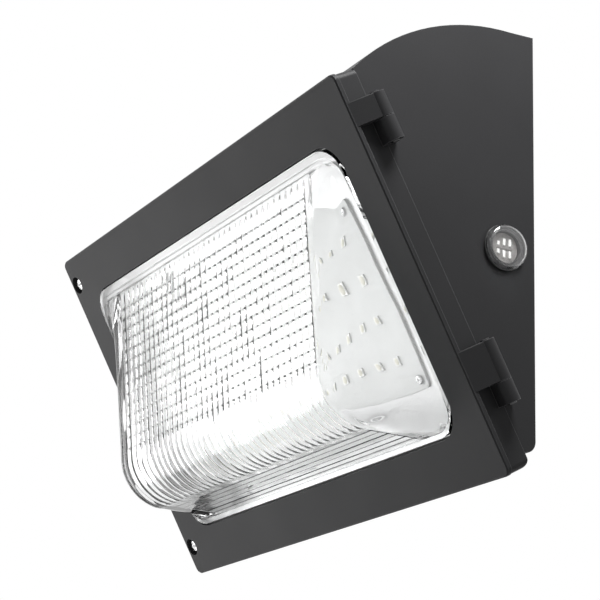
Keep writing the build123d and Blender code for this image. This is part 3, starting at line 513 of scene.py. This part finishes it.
# how a thread and a pan head are drawn: the head's outline as shares of its radius and height,
# and its cross recess as shares of the head's radius (length, width) and height
screwForm = {
    "count": 48, "threadDepth": 0.35, "turnRows": 8, "tipShare": 0.55, "tipLength": 0.6, "neckTaper": 0.3,
    "head": ((0.97, 0), (1, 0.04), (1, 0.34), (0.97, 0.58), (0.88, 0.8), (0.76, 0.93), (0.62, 1)),
    "recess": ((0.56, 0.15, 1), (0.5, 0.12, 0.9), (0.28, 0.08, 0.3)),
}


# outlines of a piece that stands on its own axis, each a loop of (x, y, height) in mm
def circle(radius, height, count, pitch=0.0):  # with a pitch, one turn of a thread passes through it
    loop = []
    for index in range(count):
        share = index / count
        phase = (height / pitch - share) % 1.0 if pitch else 0.0
        reach = radius - screwForm["threadDepth"] * abs(2 * phase - 1) if pitch else radius
        loop.append((reach * math.cos(2 * math.pi * share), reach * math.sin(2 * math.pi * share), height))
    return loop


def cross(length, width, height, count):  # plus-shaped loop, for a cross recess
    loop = []
    for index in range(count):
        angle = 2 * math.pi * index / count
        cosine, sine = max(abs(math.cos(angle)), 1e-6), max(abs(math.sin(angle)), 1e-6)
        reach = max(min(length / cosine, width / sine), min(width / cosine, length / sine))
        loop.append((reach * math.cos(angle), reach * math.sin(angle), height))
    return loop


def roundedBox(halfWidth, halfHeight, corner, height, steps=3):
    loop = []
    for turn, (signX, signY) in enumerate(((1, 1), (-1, 1), (-1, -1), (1, -1))):
        for step in range(steps + 1):
            angle = math.pi / 2 * (turn + step / steps)
            x = signX * (halfWidth - corner) + corner * math.cos(angle)
            y = signY * (halfHeight - corner) + corner * math.sin(angle)
            loop.append((x, y, height))
    return loop


def threadLoops(radius, pitch, low, high, count):
    rows = max(int((high - low) / pitch * screwForm["turnRows"]), 1)
    return [circle(radius, low + (high - low) * row / rows, count, pitch) for row in range(rows + 1)]


def joinRings(mesh, low, high):  # band of faces between two rings of as many points
    faces = []
    for index in range(len(low)):
        after = (index + 1) % len(low)
        faces.append(mesh.faces.new((low[index], low[after], high[after], high[index])))
    return faces


def addStack(mesh, loops, place, paint=0):  # closed skin over a stack of loops, with flat ends
    rings = [[mesh.verts.new(place(*point)) for point in loop] for loop in loops]
    faces = [mesh.faces.new(rings[0]), mesh.faces.new(rings[-1])]
    for low, high in zip(rings, rings[1:]):
        faces += joinRings(mesh, low, high)
    for face in faces:
        face.material_index = paint


def fromDoor(x, drop, out, turn=1):  # frame of a piece that stands out of the door's plane, or into it
    return lambda a, b, height: onDoor(x + a, drop + b * turn, out + height * turn)


def fromWall(x, y, z):  # frame of a piece that faces the room
    return lambda a, b, height: Vector((x + a, y - height, z + b)) * mm


def screwLoops(screw):  # pan head above its seat, cross recess, and a threaded shank below
    head, tall, count = screw["head"], screw["tall"], screwForm["count"]
    tip, top = -screw["length"], screw["threadTop"]
    loops = [circle(screw["shank"] * screwForm["tipShare"], tip, count)]
    loops += threadLoops(screw["shank"], screw["pitch"], tip + screwForm["tipLength"], top, count)
    loops += [circle(screw["neck"], height, count) for height in (top + screwForm["neckTaper"], 0)]
    for radiusShare, heightShare in screwForm["head"]:
        loops.append(circle(head * radiusShare, tall * heightShare, count))
    for lengthShare, widthShare, heightShare in screwForm["recess"]:
        loops.append(cross(head * lengthShare, head * widthShare, tall * heightShare, count))
    return loops


# screws (mm): seat is how far the head's underside stands out of the door's face
captiveScrew = {
    "x": -173.5, "seat": -4.97, "drops": (17.7, 206.0),
    "head": 4.75, "tall": 3.2, "neck": 1.9, "shank": 2.5, "length": 19.0, "threadTop": -12.0, "pitch": 1.0,
}
screwSets = {
    "tray_screws": {
        "places": [(x, drop, -13.8) for x in (-140.0, 140.0) for drop in (8.7, 215.7)], "turn": 1,
        "head": 3.8, "tall": 2.2, "neck": 1.9, "shank": 2.0, "length": 6.2, "threadTop": -1.2, "pitch": 0.9,
    },
    "board_screws": {
        "places": [(x, drop, -21.2) for x in (-112.0, 112.0) for drop in (62.2, 162.2)], "turn": 1,
        "head": 2.8, "tall": 1.6, "neck": 1.4, "shank": 1.5, "length": 6.0, "threadTop": -1.6, "pitch": 0.7,
    },
    "lens_clip_screws": {
        "places": [(x, drop, -10.7) for x in (-110.0, 0.0, 110.0) for drop in (16.1, 208.7)], "turn": -1,
        "head": 3.2, "tall": 1.6, "neck": 1.4, "shank": 1.5, "length": 6.2, "threadTop": -1.3, "pitch": 0.7,
    },
}
wallScrews = {
    "driver_screws": {
        "places": [(-75.0, -10.2, 70.0), (75.0, -10.2, 70.0)], "slot": "steel",
        "head": 3.8, "tall": 2.4, "neck": 1.9, "shank": 2.0, "length": 8.0, "threadTop": -3.0, "pitch": 0.9,
    },
    "ground_screw": {
        "places": [(-72.0, -8.2, -22.0)], "slot": "ground_green",
        "head": 4.6, "tall": 2.6, "neck": 1.9, "shank": 2.0, "length": 6.0, "threadTop": -0.6, "pitch": 0.9,
    },
}


def makeScrews():
    for drop, body in zip(captiveScrew["drops"], ("upper_screw", "lower_screw")):
        mesh = bmesh.new()
        addStack(mesh, screwLoops(captiveScrew), fromDoor(captiveScrew["x"], drop, captiveScrew["seat"]))
        name = body.replace("_screw", "")
        newPiece(f"{name}CaptiveScrew", mesh, body, "steel", f"captive_screw_{name}")
    for node, screws in screwSets.items():
        mesh = bmesh.new()
        for x, drop, seat in screws["places"]:
            addStack(mesh, screwLoops(screws), fromDoor(x, drop, seat, screws["turn"]))
        body = "door" if node == "lens_clip_screws" else "housing"
        newPiece(f"fine_{node}", mesh, body, "steel", node)
    for node, screws in wallScrews.items():
        mesh = bmesh.new()
        for place in screws["places"]:
            addStack(mesh, screwLoops(screws), fromWall(*place))
        newPiece(f"fine_{node}", mesh, "housing", screws["slot"], node)


# the door's ears at the hinge (mm, in the door's frame, with the crease in degrees)
hinge = {
    "x": 181.9, "out": -19.0, "radius": 4.98, "crease": 24.0, "edgeX": 180.5, "round": 0.35, "inset": 0.02,
    "lap": 0.1, "faceOut": -0.9, "rootDepth": 2.5, "rootOut": -1.5, "tail": 2,
    "ears": {"upper": (17.3, 30.6), "lower": (156.6, 178.8)},
}


def makeEarFaces():  # flat outer face of each door ear, from the door's edge to its knuckle
    g = hinge
    centre = Vector((g["x"], g["out"]))
    start = Vector((g["edgeX"] - g["lap"], g["faceOut"]))
    away = start - centre
    lift = math.acos(g["radius"] / away.length)
    angle = math.atan2(away.y, away.x) - lift + math.radians(g["crease"])
    touch = centre + Vector((math.cos(angle), math.sin(angle))) * g["radius"]
    root = g["edgeX"] - g["rootDepth"]
    outline = [start, touch, centre, Vector((root, g["out"] + g["tail"])), Vector((root, g["rootOut"]))]
    for name, (top, foot) in g["ears"].items():
        mesh = bmesh.new()
        drops = top + g["inset"], foot - g["inset"]
        loops = [[(point.x, point.y, drop) for point in outline] for drop in drops]
        addStack(mesh, loops, lambda x, out, drop: onDoor(x, drop, out))
        piece = newPiece(f"{name}EarFace", mesh, "door", "powder_coat", None)
        roundBy(piece, g["round"])


makeScrews()
makeEarFaces()
print("screws and ears made")

# dusk sensor in the right-hand side (mm): its ring, dome and the cell under it
sensor = {
    "face": 175.5, "y": -20.0, "z": -9.0,
    "ringRadius": 12.7, "ringLow": 1.0, "ringTop": 2.0,
    "collarRadius": 9.4, "collarInner": 8.5, "collarTop": 2.6,
    "floor": -0.6, "barrelRadius": 9.5, "barrelEnd": -21.0, "threadPitch": 1.4,
    "capRadius": 12.2, "capShoulder": 4.6, "capTop": 7.9, "capWall": 1.1,
    "cellRadius": 8.3, "cellTop": 0.6, "barTop": 1.4, "barWidth": 0.8, "count": 64, "domeSteps": 15,
    "bars": (  # (a, b, half length) of each bright bar on the cell
        (-0.2, -3.2, 1.9), (-0.2, 3.2, 1.9), (3.3, -3.2, 1.9),
        (3.3, 3.2, 1.9), (-3.7, -2.2, 1.2), (-3.7, 2.2, 1.2),
    ),
    # (half length, half width, corner, rise) up the rail across it
    "rail": ((5.2, 0.45, 0.2, -0.1), (5.2, 0.45, 0.2, 0.35), (5.0, 0.3, 0.1, 0.45)),
}


def onSensor(a, b, height):
    return Vector((sensor["face"] + height, sensor["y"] + a, sensor["z"] + b)) * mm


def sensorPlace(shiftA, shiftB):
    return lambda a, b, height: onSensor(a + shiftA, b + shiftB, height)


def makeSensorBody():
    s = sensor
    count = s["count"]
    mesh = bmesh.new()
    loops = [circle(s["barrelRadius"] - 1, s["barrelEnd"], count)]
    ends = s["barrelEnd"] + 0.6, s["ringLow"] - 0.4
    loops += threadLoops(s["barrelRadius"], s["threadPitch"], *ends, count)
    for radius, height in (
        (s["barrelRadius"] - 0.4, s["ringLow"]), (s["ringRadius"] - 0.3, s["ringLow"]),
        (s["ringRadius"], s["ringLow"] + 0.3), (s["ringRadius"] - 0.1, s["ringTop"] - 0.2),
        (s["ringRadius"] - 0.3, s["ringTop"]), (s["collarRadius"] + 0.4, s["ringTop"]),
        (s["collarRadius"], s["ringTop"] + 0.4), (s["collarRadius"], s["collarTop"] - 0.2),
        (s["collarRadius"] - 0.2, s["collarTop"]), (s["collarInner"], s["collarTop"]),
        (s["collarInner"], s["floor"]),
    ):
        loops.append(circle(radius, height, count))
    addStack(mesh, loops, onSensor)
    newPiece("sensorBody", mesh, "housing", "black_plastic", "photocell_body")


def capLine(inset):  # (radius, height) up one skin of the clear cap, from its foot to the top of its dome
    s = sensor
    radius, shoulder = s["capRadius"] - inset, s["capShoulder"]
    line = [(radius, s["ringTop"]), (radius, shoulder - 0.4)]
    rise = s["capTop"] - inset - shoulder
    for step in range(s["domeSteps"]):
        angle = math.pi / 2 * step / s["domeSteps"]
        line.append(((radius - 0.15) * math.cos(angle), shoulder + rise * math.sin(angle)))
    return line


def makeSensorDome():
    mesh = bmesh.new()
    count = sensor["count"]
    skins = [capLine(0.0), list(reversed(capLine(sensor["capWall"])))]
    rings = []
    for skin in skins:
        loops = [circle(*step, count) for step in skin]
        rings.append([[mesh.verts.new(onSensor(*point)) for point in loop] for loop in loops])
    mesh.faces.new(rings[0][-1])
    mesh.faces.new(rings[1][0])
    for stack in (*rings, (rings[1][-1], rings[0][0])):
        for low, high in zip(stack, stack[1:]):
            joinRings(mesh, low, high)
    newPiece("sensorDome", mesh, "housing", "clear_plastic", "photocell_lens")


def makeSensorCell():
    s = sensor
    mesh = bmesh.new()
    radius, low, high, half = s["cellRadius"], s["cellTop"], s["barTop"], s["barWidth"]
    disc = [(radius, s["floor"]), (radius, low - 0.2), (radius - 0.2, low)]
    addStack(mesh, [circle(*step, s["count"]) for step in disc], onSensor)
    for a, b, halfLength in s["bars"]:
        loops = [roundedBox(half, halfLength, 0.3, height) for height in (low - 0.1, high - 0.2)]
        loops.append(roundedBox(half - 0.2, halfLength - 0.2, 0.15, high))
        addStack(mesh, loops, sensorPlace(a, b), 1)
    rail = [roundedBox(length, width, corner, low + rise) for length, width, corner, rise in s["rail"]]
    addStack(mesh, rail, sensorPlace(0, 0), 0)
    materials = [finishes["sensorCeramic"], finishes["brightContact"]]
    newPiece("sensorCell", mesh, "housing", "sensor", "photocell_sensor", materials)


makeSensorBody()
makeSensorDome()
makeSensorCell()
print("sensor made")

# light chips on the board (mm): package as (half width, corner, height), dome as (radius, height)
chips = {
    "columns": 12, "rows": 4, "pitchX": 18.0, "pitchDrop": 24.0, "middleDrop": 112.2, "board": -21.2,
    "package": ((2.5, 0.3, 0), (2.5, 0.3, 0.75), (2.35, 0.2, 0.9)),
    "dome": ((2.0, 0.85), (1.95, 1.0), (1.6, 1.2), (1.0, 1.34), (0.35, 1.4)), "domeCount": 20,
}


def makeChips():  # ceramic packages with a domed phosphor window
    mesh = bmesh.new()
    for column in range(chips["columns"]):
        for row in range(chips["rows"]):
            x = (column - (chips["columns"] - 1) / 2) * chips["pitchX"]
            drop = chips["middleDrop"] + (row - (chips["rows"] - 1) / 2) * chips["pitchDrop"]
            place = fromDoor(x, drop, chips["board"])
            base = [roundedBox(half, half, corner, height) for half, corner, height in chips["package"]]
            addStack(mesh, base, place)
            addStack(mesh, [circle(*step, chips["domeCount"]) for step in chips["dome"]], place, 1)
    materials = [finishes["chipCeramic"], finishes["palePhosphor"]]
    newPiece("chipPackages", mesh, "housing", "led", "led_chips", materials)


makeChips()
print("chips made")

# the pressed glass bowl (mm, in the door's frame)
glass = {
    "neckHalfWidth": 155.5,
    "neckTop": 30.1,
    "neckFoot": 194.7,
    "cornerRadius": 16.5,
    "innerCorner": 9.0,
    "wall": 4.5,
    "flangeFront": -4.5,
    "flangeBack": -9.5,
    "flangeReach": 6.5,
    "landWidth": 7.9,
    "landOut": 3.0,
    "landLow": 2.6,
    "beadDrops": (34.6, 37.4),
    "beadRise": 0.3,
    "beadHalf": 0.5,
    "flat": 0.7,
    "slope": 0.428,
    "frontHalfWidth": 131.0,
    "edgeRound": 6.5,
    "turnRadius": 30.0,
    "draft": 30.0,
    "footBorder": 2.8,
    "ribCount": 39,
    "ribPitch": 6.7,
    "ribRise": 0.36,
    "ribSamples": 10,
    "ribRunIn": 3.5,
    "prismStartDrop": 44.0,
    "prismCount": 14,
    "prismPitch": 6.9,
    "prismDepth": 0.5,
    "prismPeak": 0.78,
    "prismHalfSpan": 120.0,
    "underPrismCount": 6,
    "underPrismPitch": 5.3,
    "underPrismStart": 1.4,
    "underPrismDepth": 0.9,
    "sideWave": 0.55,
    "waves": ((7.5, 5, 1), (4.1, -7, 0.5)),  # (length down, length across, share) of the uneven wall
    "sideFade": 8,
    "turnFade": 2.5,
    "prismFade": 0.8,
    "sharp": 24.0,
    "landSteps": 32,
    "frontSteps": 120,
    "turnSteps": 26,
    "underSteps": 48,
    "heelSteps": 4,
    "edgeSteps": 8,
    "sideSteps": 20,
}


# (place, outward, kind, run) down the middle of a skin that lies `inset` inside the outer one
def bowlLine(inset):
    g = glass
    slopeAngle = math.atan(g["slope"])
    draft = math.radians(g["draft"])
    front = Vector((math.cos(slopeAngle), math.sin(slopeAngle)))
    under = Vector((math.sin(draft), -math.cos(draft)))
    frontOut = Vector((-front.y, front.x))
    underOut = Vector((-under.y, under.x))
    landStop = Vector((g["neckTop"] + g["landWidth"], g["landOut"] - inset / math.cos(slopeAngle)))
    flat = g["flat"] - inset
    footDrop = g["neckFoot"] - g["footBorder"] - inset / math.cos(draft) + inset * math.tan(draft)
    foot = Vector((footDrop, flat))
    rise = landStop.y + g["slope"] * (foot.x - landStop.x) - flat
    meetDrop = foot.x - math.tan(draft) * rise / (1 + g["slope"] * math.tan(draft))
    meet = Vector((meetDrop, landStop.y + g["slope"] * (meetDrop - landStop.x)))
    turn = math.pi / 2 - draft + slopeAngle
    radius = g["turnRadius"] - inset
    tangent = radius * math.tan(turn / 2)
    arcStart, arcEnd = meet - front * tangent, meet + under * tangent
    centre = arcStart - frontOut * radius
    points = []
    if not inset:
        landStart = Vector((g["neckTop"], g["landLow"]))
        for step in range(g["landSteps"]):
            points.append((landStart.lerp(landStop, step / g["landSteps"]), Vector((0, 1)), "land", 0.0))
    runLength = (arcStart - landStop).length
    for step in range(g["frontSteps"]):
        run = runLength * step / g["frontSteps"]
        points.append((landStop + front * run, frontOut, "front", run))
    startAngle = math.atan2(frontOut.y, frontOut.x)
    for step in range(g["turnSteps"]):
        angle = startAngle - turn * step / g["turnSteps"]
        ray = Vector((math.cos(angle), math.sin(angle)))
        points.append((centre + ray * radius, ray, "turn", turn * radius * (1 - step / g["turnSteps"])))
    underLength = (foot - arcEnd).length
    for step in range(g["underSteps"]):
        run = underLength * step / g["underSteps"]
        points.append((arcEnd + under * run, underOut, "under", underLength - run))
    points.append((foot, Vector((0, 1)), "heel", 0.0))
    if not inset:
        heel = Vector((g["neckFoot"], flat))
        for step in range(1, g["heelSteps"] + 1):
            points.append((foot.lerp(heel, step / g["heelSteps"]), Vector((0, 1)), "heel", 0.0))
    return points, flat


def bowlStations():  # places across the bowl at which a skin has its columns
    g = glass
    span = g["ribCount"] * g["ribPitch"] / 2
    steps = g["ribCount"] * g["ribSamples"] // 2
    half = [span * step / steps for step in range(steps + 1)]
    edgeStop = g["frontHalfWidth"] + g["edgeRound"]
    spans = (span, edgeStop, g["edgeSteps"]), (edgeStop, g["neckHalfWidth"], g["sideSteps"])
    for low, high, parts in spans:
        half += [low + (high - low) * step / parts for step in range(1, parts + 1)]
    return [-x for x in reversed(half[1:])] + half


def fallOff(x):  # share of the bowl's full height that is left at x
    g = glass
    fall = 1 / (g["neckHalfWidth"] - g["frontHalfWidth"])
    past = abs(x) - (g["frontHalfWidth"] - g["edgeRound"])
    if past <= 0:
        return 1.0
    if past < 2 * g["edgeRound"]:
        return 1 - fall * past * past / (4 * g["edgeRound"])
    return max(1 - fall * (past - g["edgeRound"]), 0.0)


def ribShape(x, kind, run, drop):  # upright ribs outside, and two fine beads on the land
    g = glass
    span = g["ribCount"] * g["ribPitch"] / 2
    if kind == "land":
        nearest = min(abs(drop - bead) for bead in g["beadDrops"])
        return g["beadRise"] * (1 - (nearest / g["beadHalf"]) ** 2)
    if abs(x) >= span or kind in ("heel", "under"):
        return 0.0
    share = ((x + span) / g["ribPitch"]) % 1.0
    crown = 1 - (2 * share - 1) ** 4
    fade = 1.0
    if kind == "front":
        fade = smoothStep(0, g["ribRunIn"], run)
    if kind == "turn":
        fade = smoothStep(0, g["turnFade"], run)
    return g["ribRise"] * crown * fade


def prismShape(x, kind, run, drop):  # level prisms inside
    g = glass
    fade = 1 - smoothStep(g["prismHalfSpan"] - g["prismFade"], g["prismHalfSpan"], abs(x))
    if kind == "front":
        place = (drop - g["prismStartDrop"]) / (g["prismPitch"] * math.cos(math.atan(g["slope"])))
        count, depth = g["prismCount"], g["prismDepth"]
    elif kind == "under":
        place, count = (run - g["underPrismStart"]) / g["underPrismPitch"], g["underPrismCount"]
        depth = g["underPrismDepth"]
    else:
        return 0.0
    if place <= 0 or place >= count:
        return 0.0
    share, peak = place % 1.0, g["prismPeak"]
    height = share / peak if share < peak else (1 - share) / (1 - peak)
    return depth * height * fade


# columns of (x, drop, out) for one skin, with its corners rounded
def skinRows(inset, radius, shape, side):
    g = glass
    line, flat = bowlLine(inset)
    halfWidth = g["neckHalfWidth"] - inset
    plateau = g["frontHalfWidth"] - g["edgeRound"]
    top, foot = line[0][0].x, line[-1][0].x
    rows = []
    for station in bowlStations():
        reach = min(abs(station), plateau) * (plateau - inset) / plateau + max(abs(station) - plateau, 0)
        x = math.copysign(reach, station)
        weight = fallOff(station)
        sideways = smoothStep(plateau, plateau + g["sideFade"], abs(station))
        sideways *= 1 - smoothStep(halfWidth - g["sideFade"], halfWidth, abs(station))
        past = max(reach - (halfWidth - radius), 0)
        cut = radius - math.sqrt(max(radius * radius - past * past, 0))
        row = []
        for place, outward, kind, run in line:
            rise = max(shape(x, kind, run, place.x), 0) * side
            drop = place.x + outward.x * rise
            share = (drop - top) / (foot - top)
            drop = top + cut + share * (foot - top - 2 * cut)
            swell = 0.0
            if inset:  # the pressed wall is a little uneven inside
                waves = 0.0
                for down, across, part in g["waves"]:
                    waves += math.sin(drop / down + station / across) * part
                swell = g["sideWave"] * sideways * waves
            row.append((x, drop, flat + weight * (place.y - flat + outward.y * rise) + swell))
        rows.append(row)
    return rows


def makeGlass():
    g = glass
    mesh = bmesh.new()

    def addSkin(rows):
        verts = [[mesh.verts.new(onDoor(*point)) for point in row] for row in rows]
        for left, right in zip(verts, verts[1:]):
            for a, b, c, d in zip(left, left[1:], right[1:], right):
                mesh.faces.new((a, b, c, d))
        return verts

    def rim(rows):
        loop = [row[0] for row in rows] + rows[-1][1:-1]
        return loop + [row[-1] for row in reversed(rows)] + rows[0][-2:0:-1]

    def around(loop, out, grow):  # the neck's outline at another depth, moved out square to itself
        halfWidth, radius = g["neckHalfWidth"], g["cornerRadius"]
        ring = []
        for x, drop, _ in loop:
            cornerX = min(max(x, radius - halfWidth), halfWidth - radius)
            cornerDrop = min(max(drop, g["neckTop"] + radius), g["neckFoot"] - radius)
            way = Vector((x - cornerX, drop - cornerDrop)).normalized() * grow
            ring.append(mesh.verts.new(onDoor(x + way.x, drop + way.y, out)))
        return ring

    outer = skinRows(0.0, g["cornerRadius"], ribShape, 1)
    inner = skinRows(g["wall"], g["innerCorner"], prismShape, -1)
    outerLoop, innerLoop = rim(outer), rim(inner)
    outerVerts, innerVerts = rim(addSkin(outer)), rim(addSkin(inner))
    loops = [
        outerVerts,
        around(outerLoop, g["flangeFront"], 0),
        around(outerLoop, g["flangeFront"], g["flangeReach"]),
        around(outerLoop, g["flangeBack"], g["flangeReach"]),
    ]
    for front, behind in zip(loops, loops[1:]):
        joinRings(mesh, front, behind)
    back = [mesh.verts.new(onDoor(x, drop, g["flangeBack"])) for x, drop, _ in innerLoop]
    joinRings(mesh, back, innerVerts)
    edges = []
    for loop in (loops[-1], back):
        edges += [mesh.edges.get(ends) for ends in zip(loop, loop[1:] + loop[:1])]
    bmesh.ops.bridge_loops(mesh, edges=edges)
    newPiece("glassBowl", mesh, "door", "glass", "glass_refractor", sharp=g["sharp"])


# black seal over the glass flange, whose lip closes the gap round the neck (mm)
lensSeal = {
    "middleDrop": 112.4, "halfWidth": 162.0, "halfHeight": 88.8, "corner": 23.0, "cornerSteps": 10,
    "ring": 5.0, "lip": 1.2, "top": -3.02, "foot": -4.48, "lipTop": -3.7,
}


def makeLensSeal():
    r = lensSeal
    reach = r["ring"] + r["lip"]
    steps = [(0, "top"), (0, "foot"), (reach, "foot"), (reach, "lipTop")]
    steps += [(r["ring"], "lipTop"), (r["ring"], "top")]
    mesh = bmesh.new()
    rings = []
    for inset, level in steps:
        sizes = r["halfWidth"] - inset, r["halfHeight"] - inset, r["corner"] - inset
        loop = roundedBox(*sizes, r[level], r["cornerSteps"])
        rings.append([mesh.verts.new(onDoor(x, r["middleDrop"] + b, out)) for x, b, out in loop])
    for low, high in zip(rings, rings[1:] + rings[:1]):
        joinRings(mesh, low, high)
    newPiece("lensSeal", mesh, "door", "silicone", "lens_gasket")


makeGlass()
makeLensSeal()
print("glass and seal made")

stage = {
    "floorHeight": -1.3, "floorSize": 8.0, "floorColour": (0.9, 0.9, 0.9, 1), "floorRoughness": 0.8,
    "floorGlow": 0.62, "ambientLeft": 0.3, "ambientRight": 0.16,
}


def seenRay(tree):  # 1 where the camera sees the place itself, in a mirror or through glass
    path = addNode(tree, "ShaderNodeLightPath")
    seen = mathNode(tree, "MAXIMUM", path.outputs["Is Camera Ray"], path.outputs["Is Transmission Ray"])
    return mathNode(tree, "MAXIMUM", seen, path.outputs["Is Glossy Ray"])


def makeStage():
    mesh = bpy.data.meshes.new("floor")
    half = stage["floorSize"] / 2
    corners = [(-half, -half), (half, -half), (half, half), (-half, half)]
    mesh.from_pydata([(x, y, stage["floorHeight"]) for x, y in corners], [], [(0, 1, 2, 3)])
    floor = bpy.data.objects.new("floor", mesh)
    bpy.context.scene.collection.objects.link(floor)
    material, tree, shader, output = newMaterial("paleFloor")
    shader.inputs["Base Color"].default_value = stage["floorColour"]
    shader.inputs["Roughness"].default_value = stage["floorRoughness"]
    glow = mathNode(tree, "MULTIPLY", seenRay(tree), stage["floorGlow"])
    lift = addNode(tree, "ShaderNodeEmission", {"Color": (1, 1, 1, 1), "Strength": glow})
    both = addNode(tree, "ShaderNodeAddShader", {0: shader.outputs[0], 1: lift.outputs[0]})
    tree.links.new(both.outputs[0], output.inputs["Surface"])
    mesh.materials.append(material)


def makeWorld():
    world = bpy.data.worlds.new("studio")
    bpy.context.scene.world = world
    world.use_nodes = True
    tree = world.node_tree
    tree.nodes.clear()
    output = addNode(tree, "ShaderNodeOutputWorld")
    way = addNode(tree, "ShaderNodeTexCoord").outputs["Generated"]
    across = addNode(tree, "ShaderNodeSeparateXYZ", {"Vector": way}).outputs["X"]
    limits = {"Value": across, "From Min": -1.0, "From Max": 1.0}
    limits.update({"To Min": stage["ambientLeft"], "To Max": stage["ambientRight"]})
    soft = addNode(tree, "ShaderNodeMapRange", limits).outputs["Result"]
    plain = addNode(tree, "ShaderNodeBackground", {"Color": (1, 1, 1, 1), "Strength": soft})
    white = addNode(tree, "ShaderNodeBackground", {"Color": (1, 1, 1, 1), "Strength": 1.0})
    mix = addNode(tree, "ShaderNodeMixShader", {0: seenRay(tree)})
    tree.links.new(plain.outputs[0], mix.inputs[1])
    tree.links.new(white.outputs[0], mix.inputs[2])
    tree.links.new(mix.outputs[0], output.inputs["Surface"])


lampAim = (0, -0.06, 0)
lamps = {
    "left": {"place": (-1.5, -1.0, -0.3), "size": 1.2, "power": 8.6},
    "leftHigh": {"place": (-1.2, -1.3, 0.3), "size": 1.2, "power": 4.0},
    "over": {"place": (0.37, -0.06, 0.44), "size": 0.2, "power": 4.0},
}


def makeLamps():
    aim = Vector(lampAim)
    for name, lamp in lamps.items():
        light = bpy.data.lights.new(name, "AREA")
        light.energy = lamp["power"]
        light.size = lamp["size"]
        holder = bpy.data.objects.new(name, light)
        place = Vector(lamp["place"])
        holder.location = place
        holder.rotation_mode = "QUATERNION"
        holder.rotation_quaternion = (aim - place).to_track_quat("-Z", "Y")
        bpy.context.scene.collection.objects.link(holder)


makeStage()
makeWorld()
makeLamps()
bpy.context.scene.view_settings.view_transform = "Standard"
print("stage and lamps made")
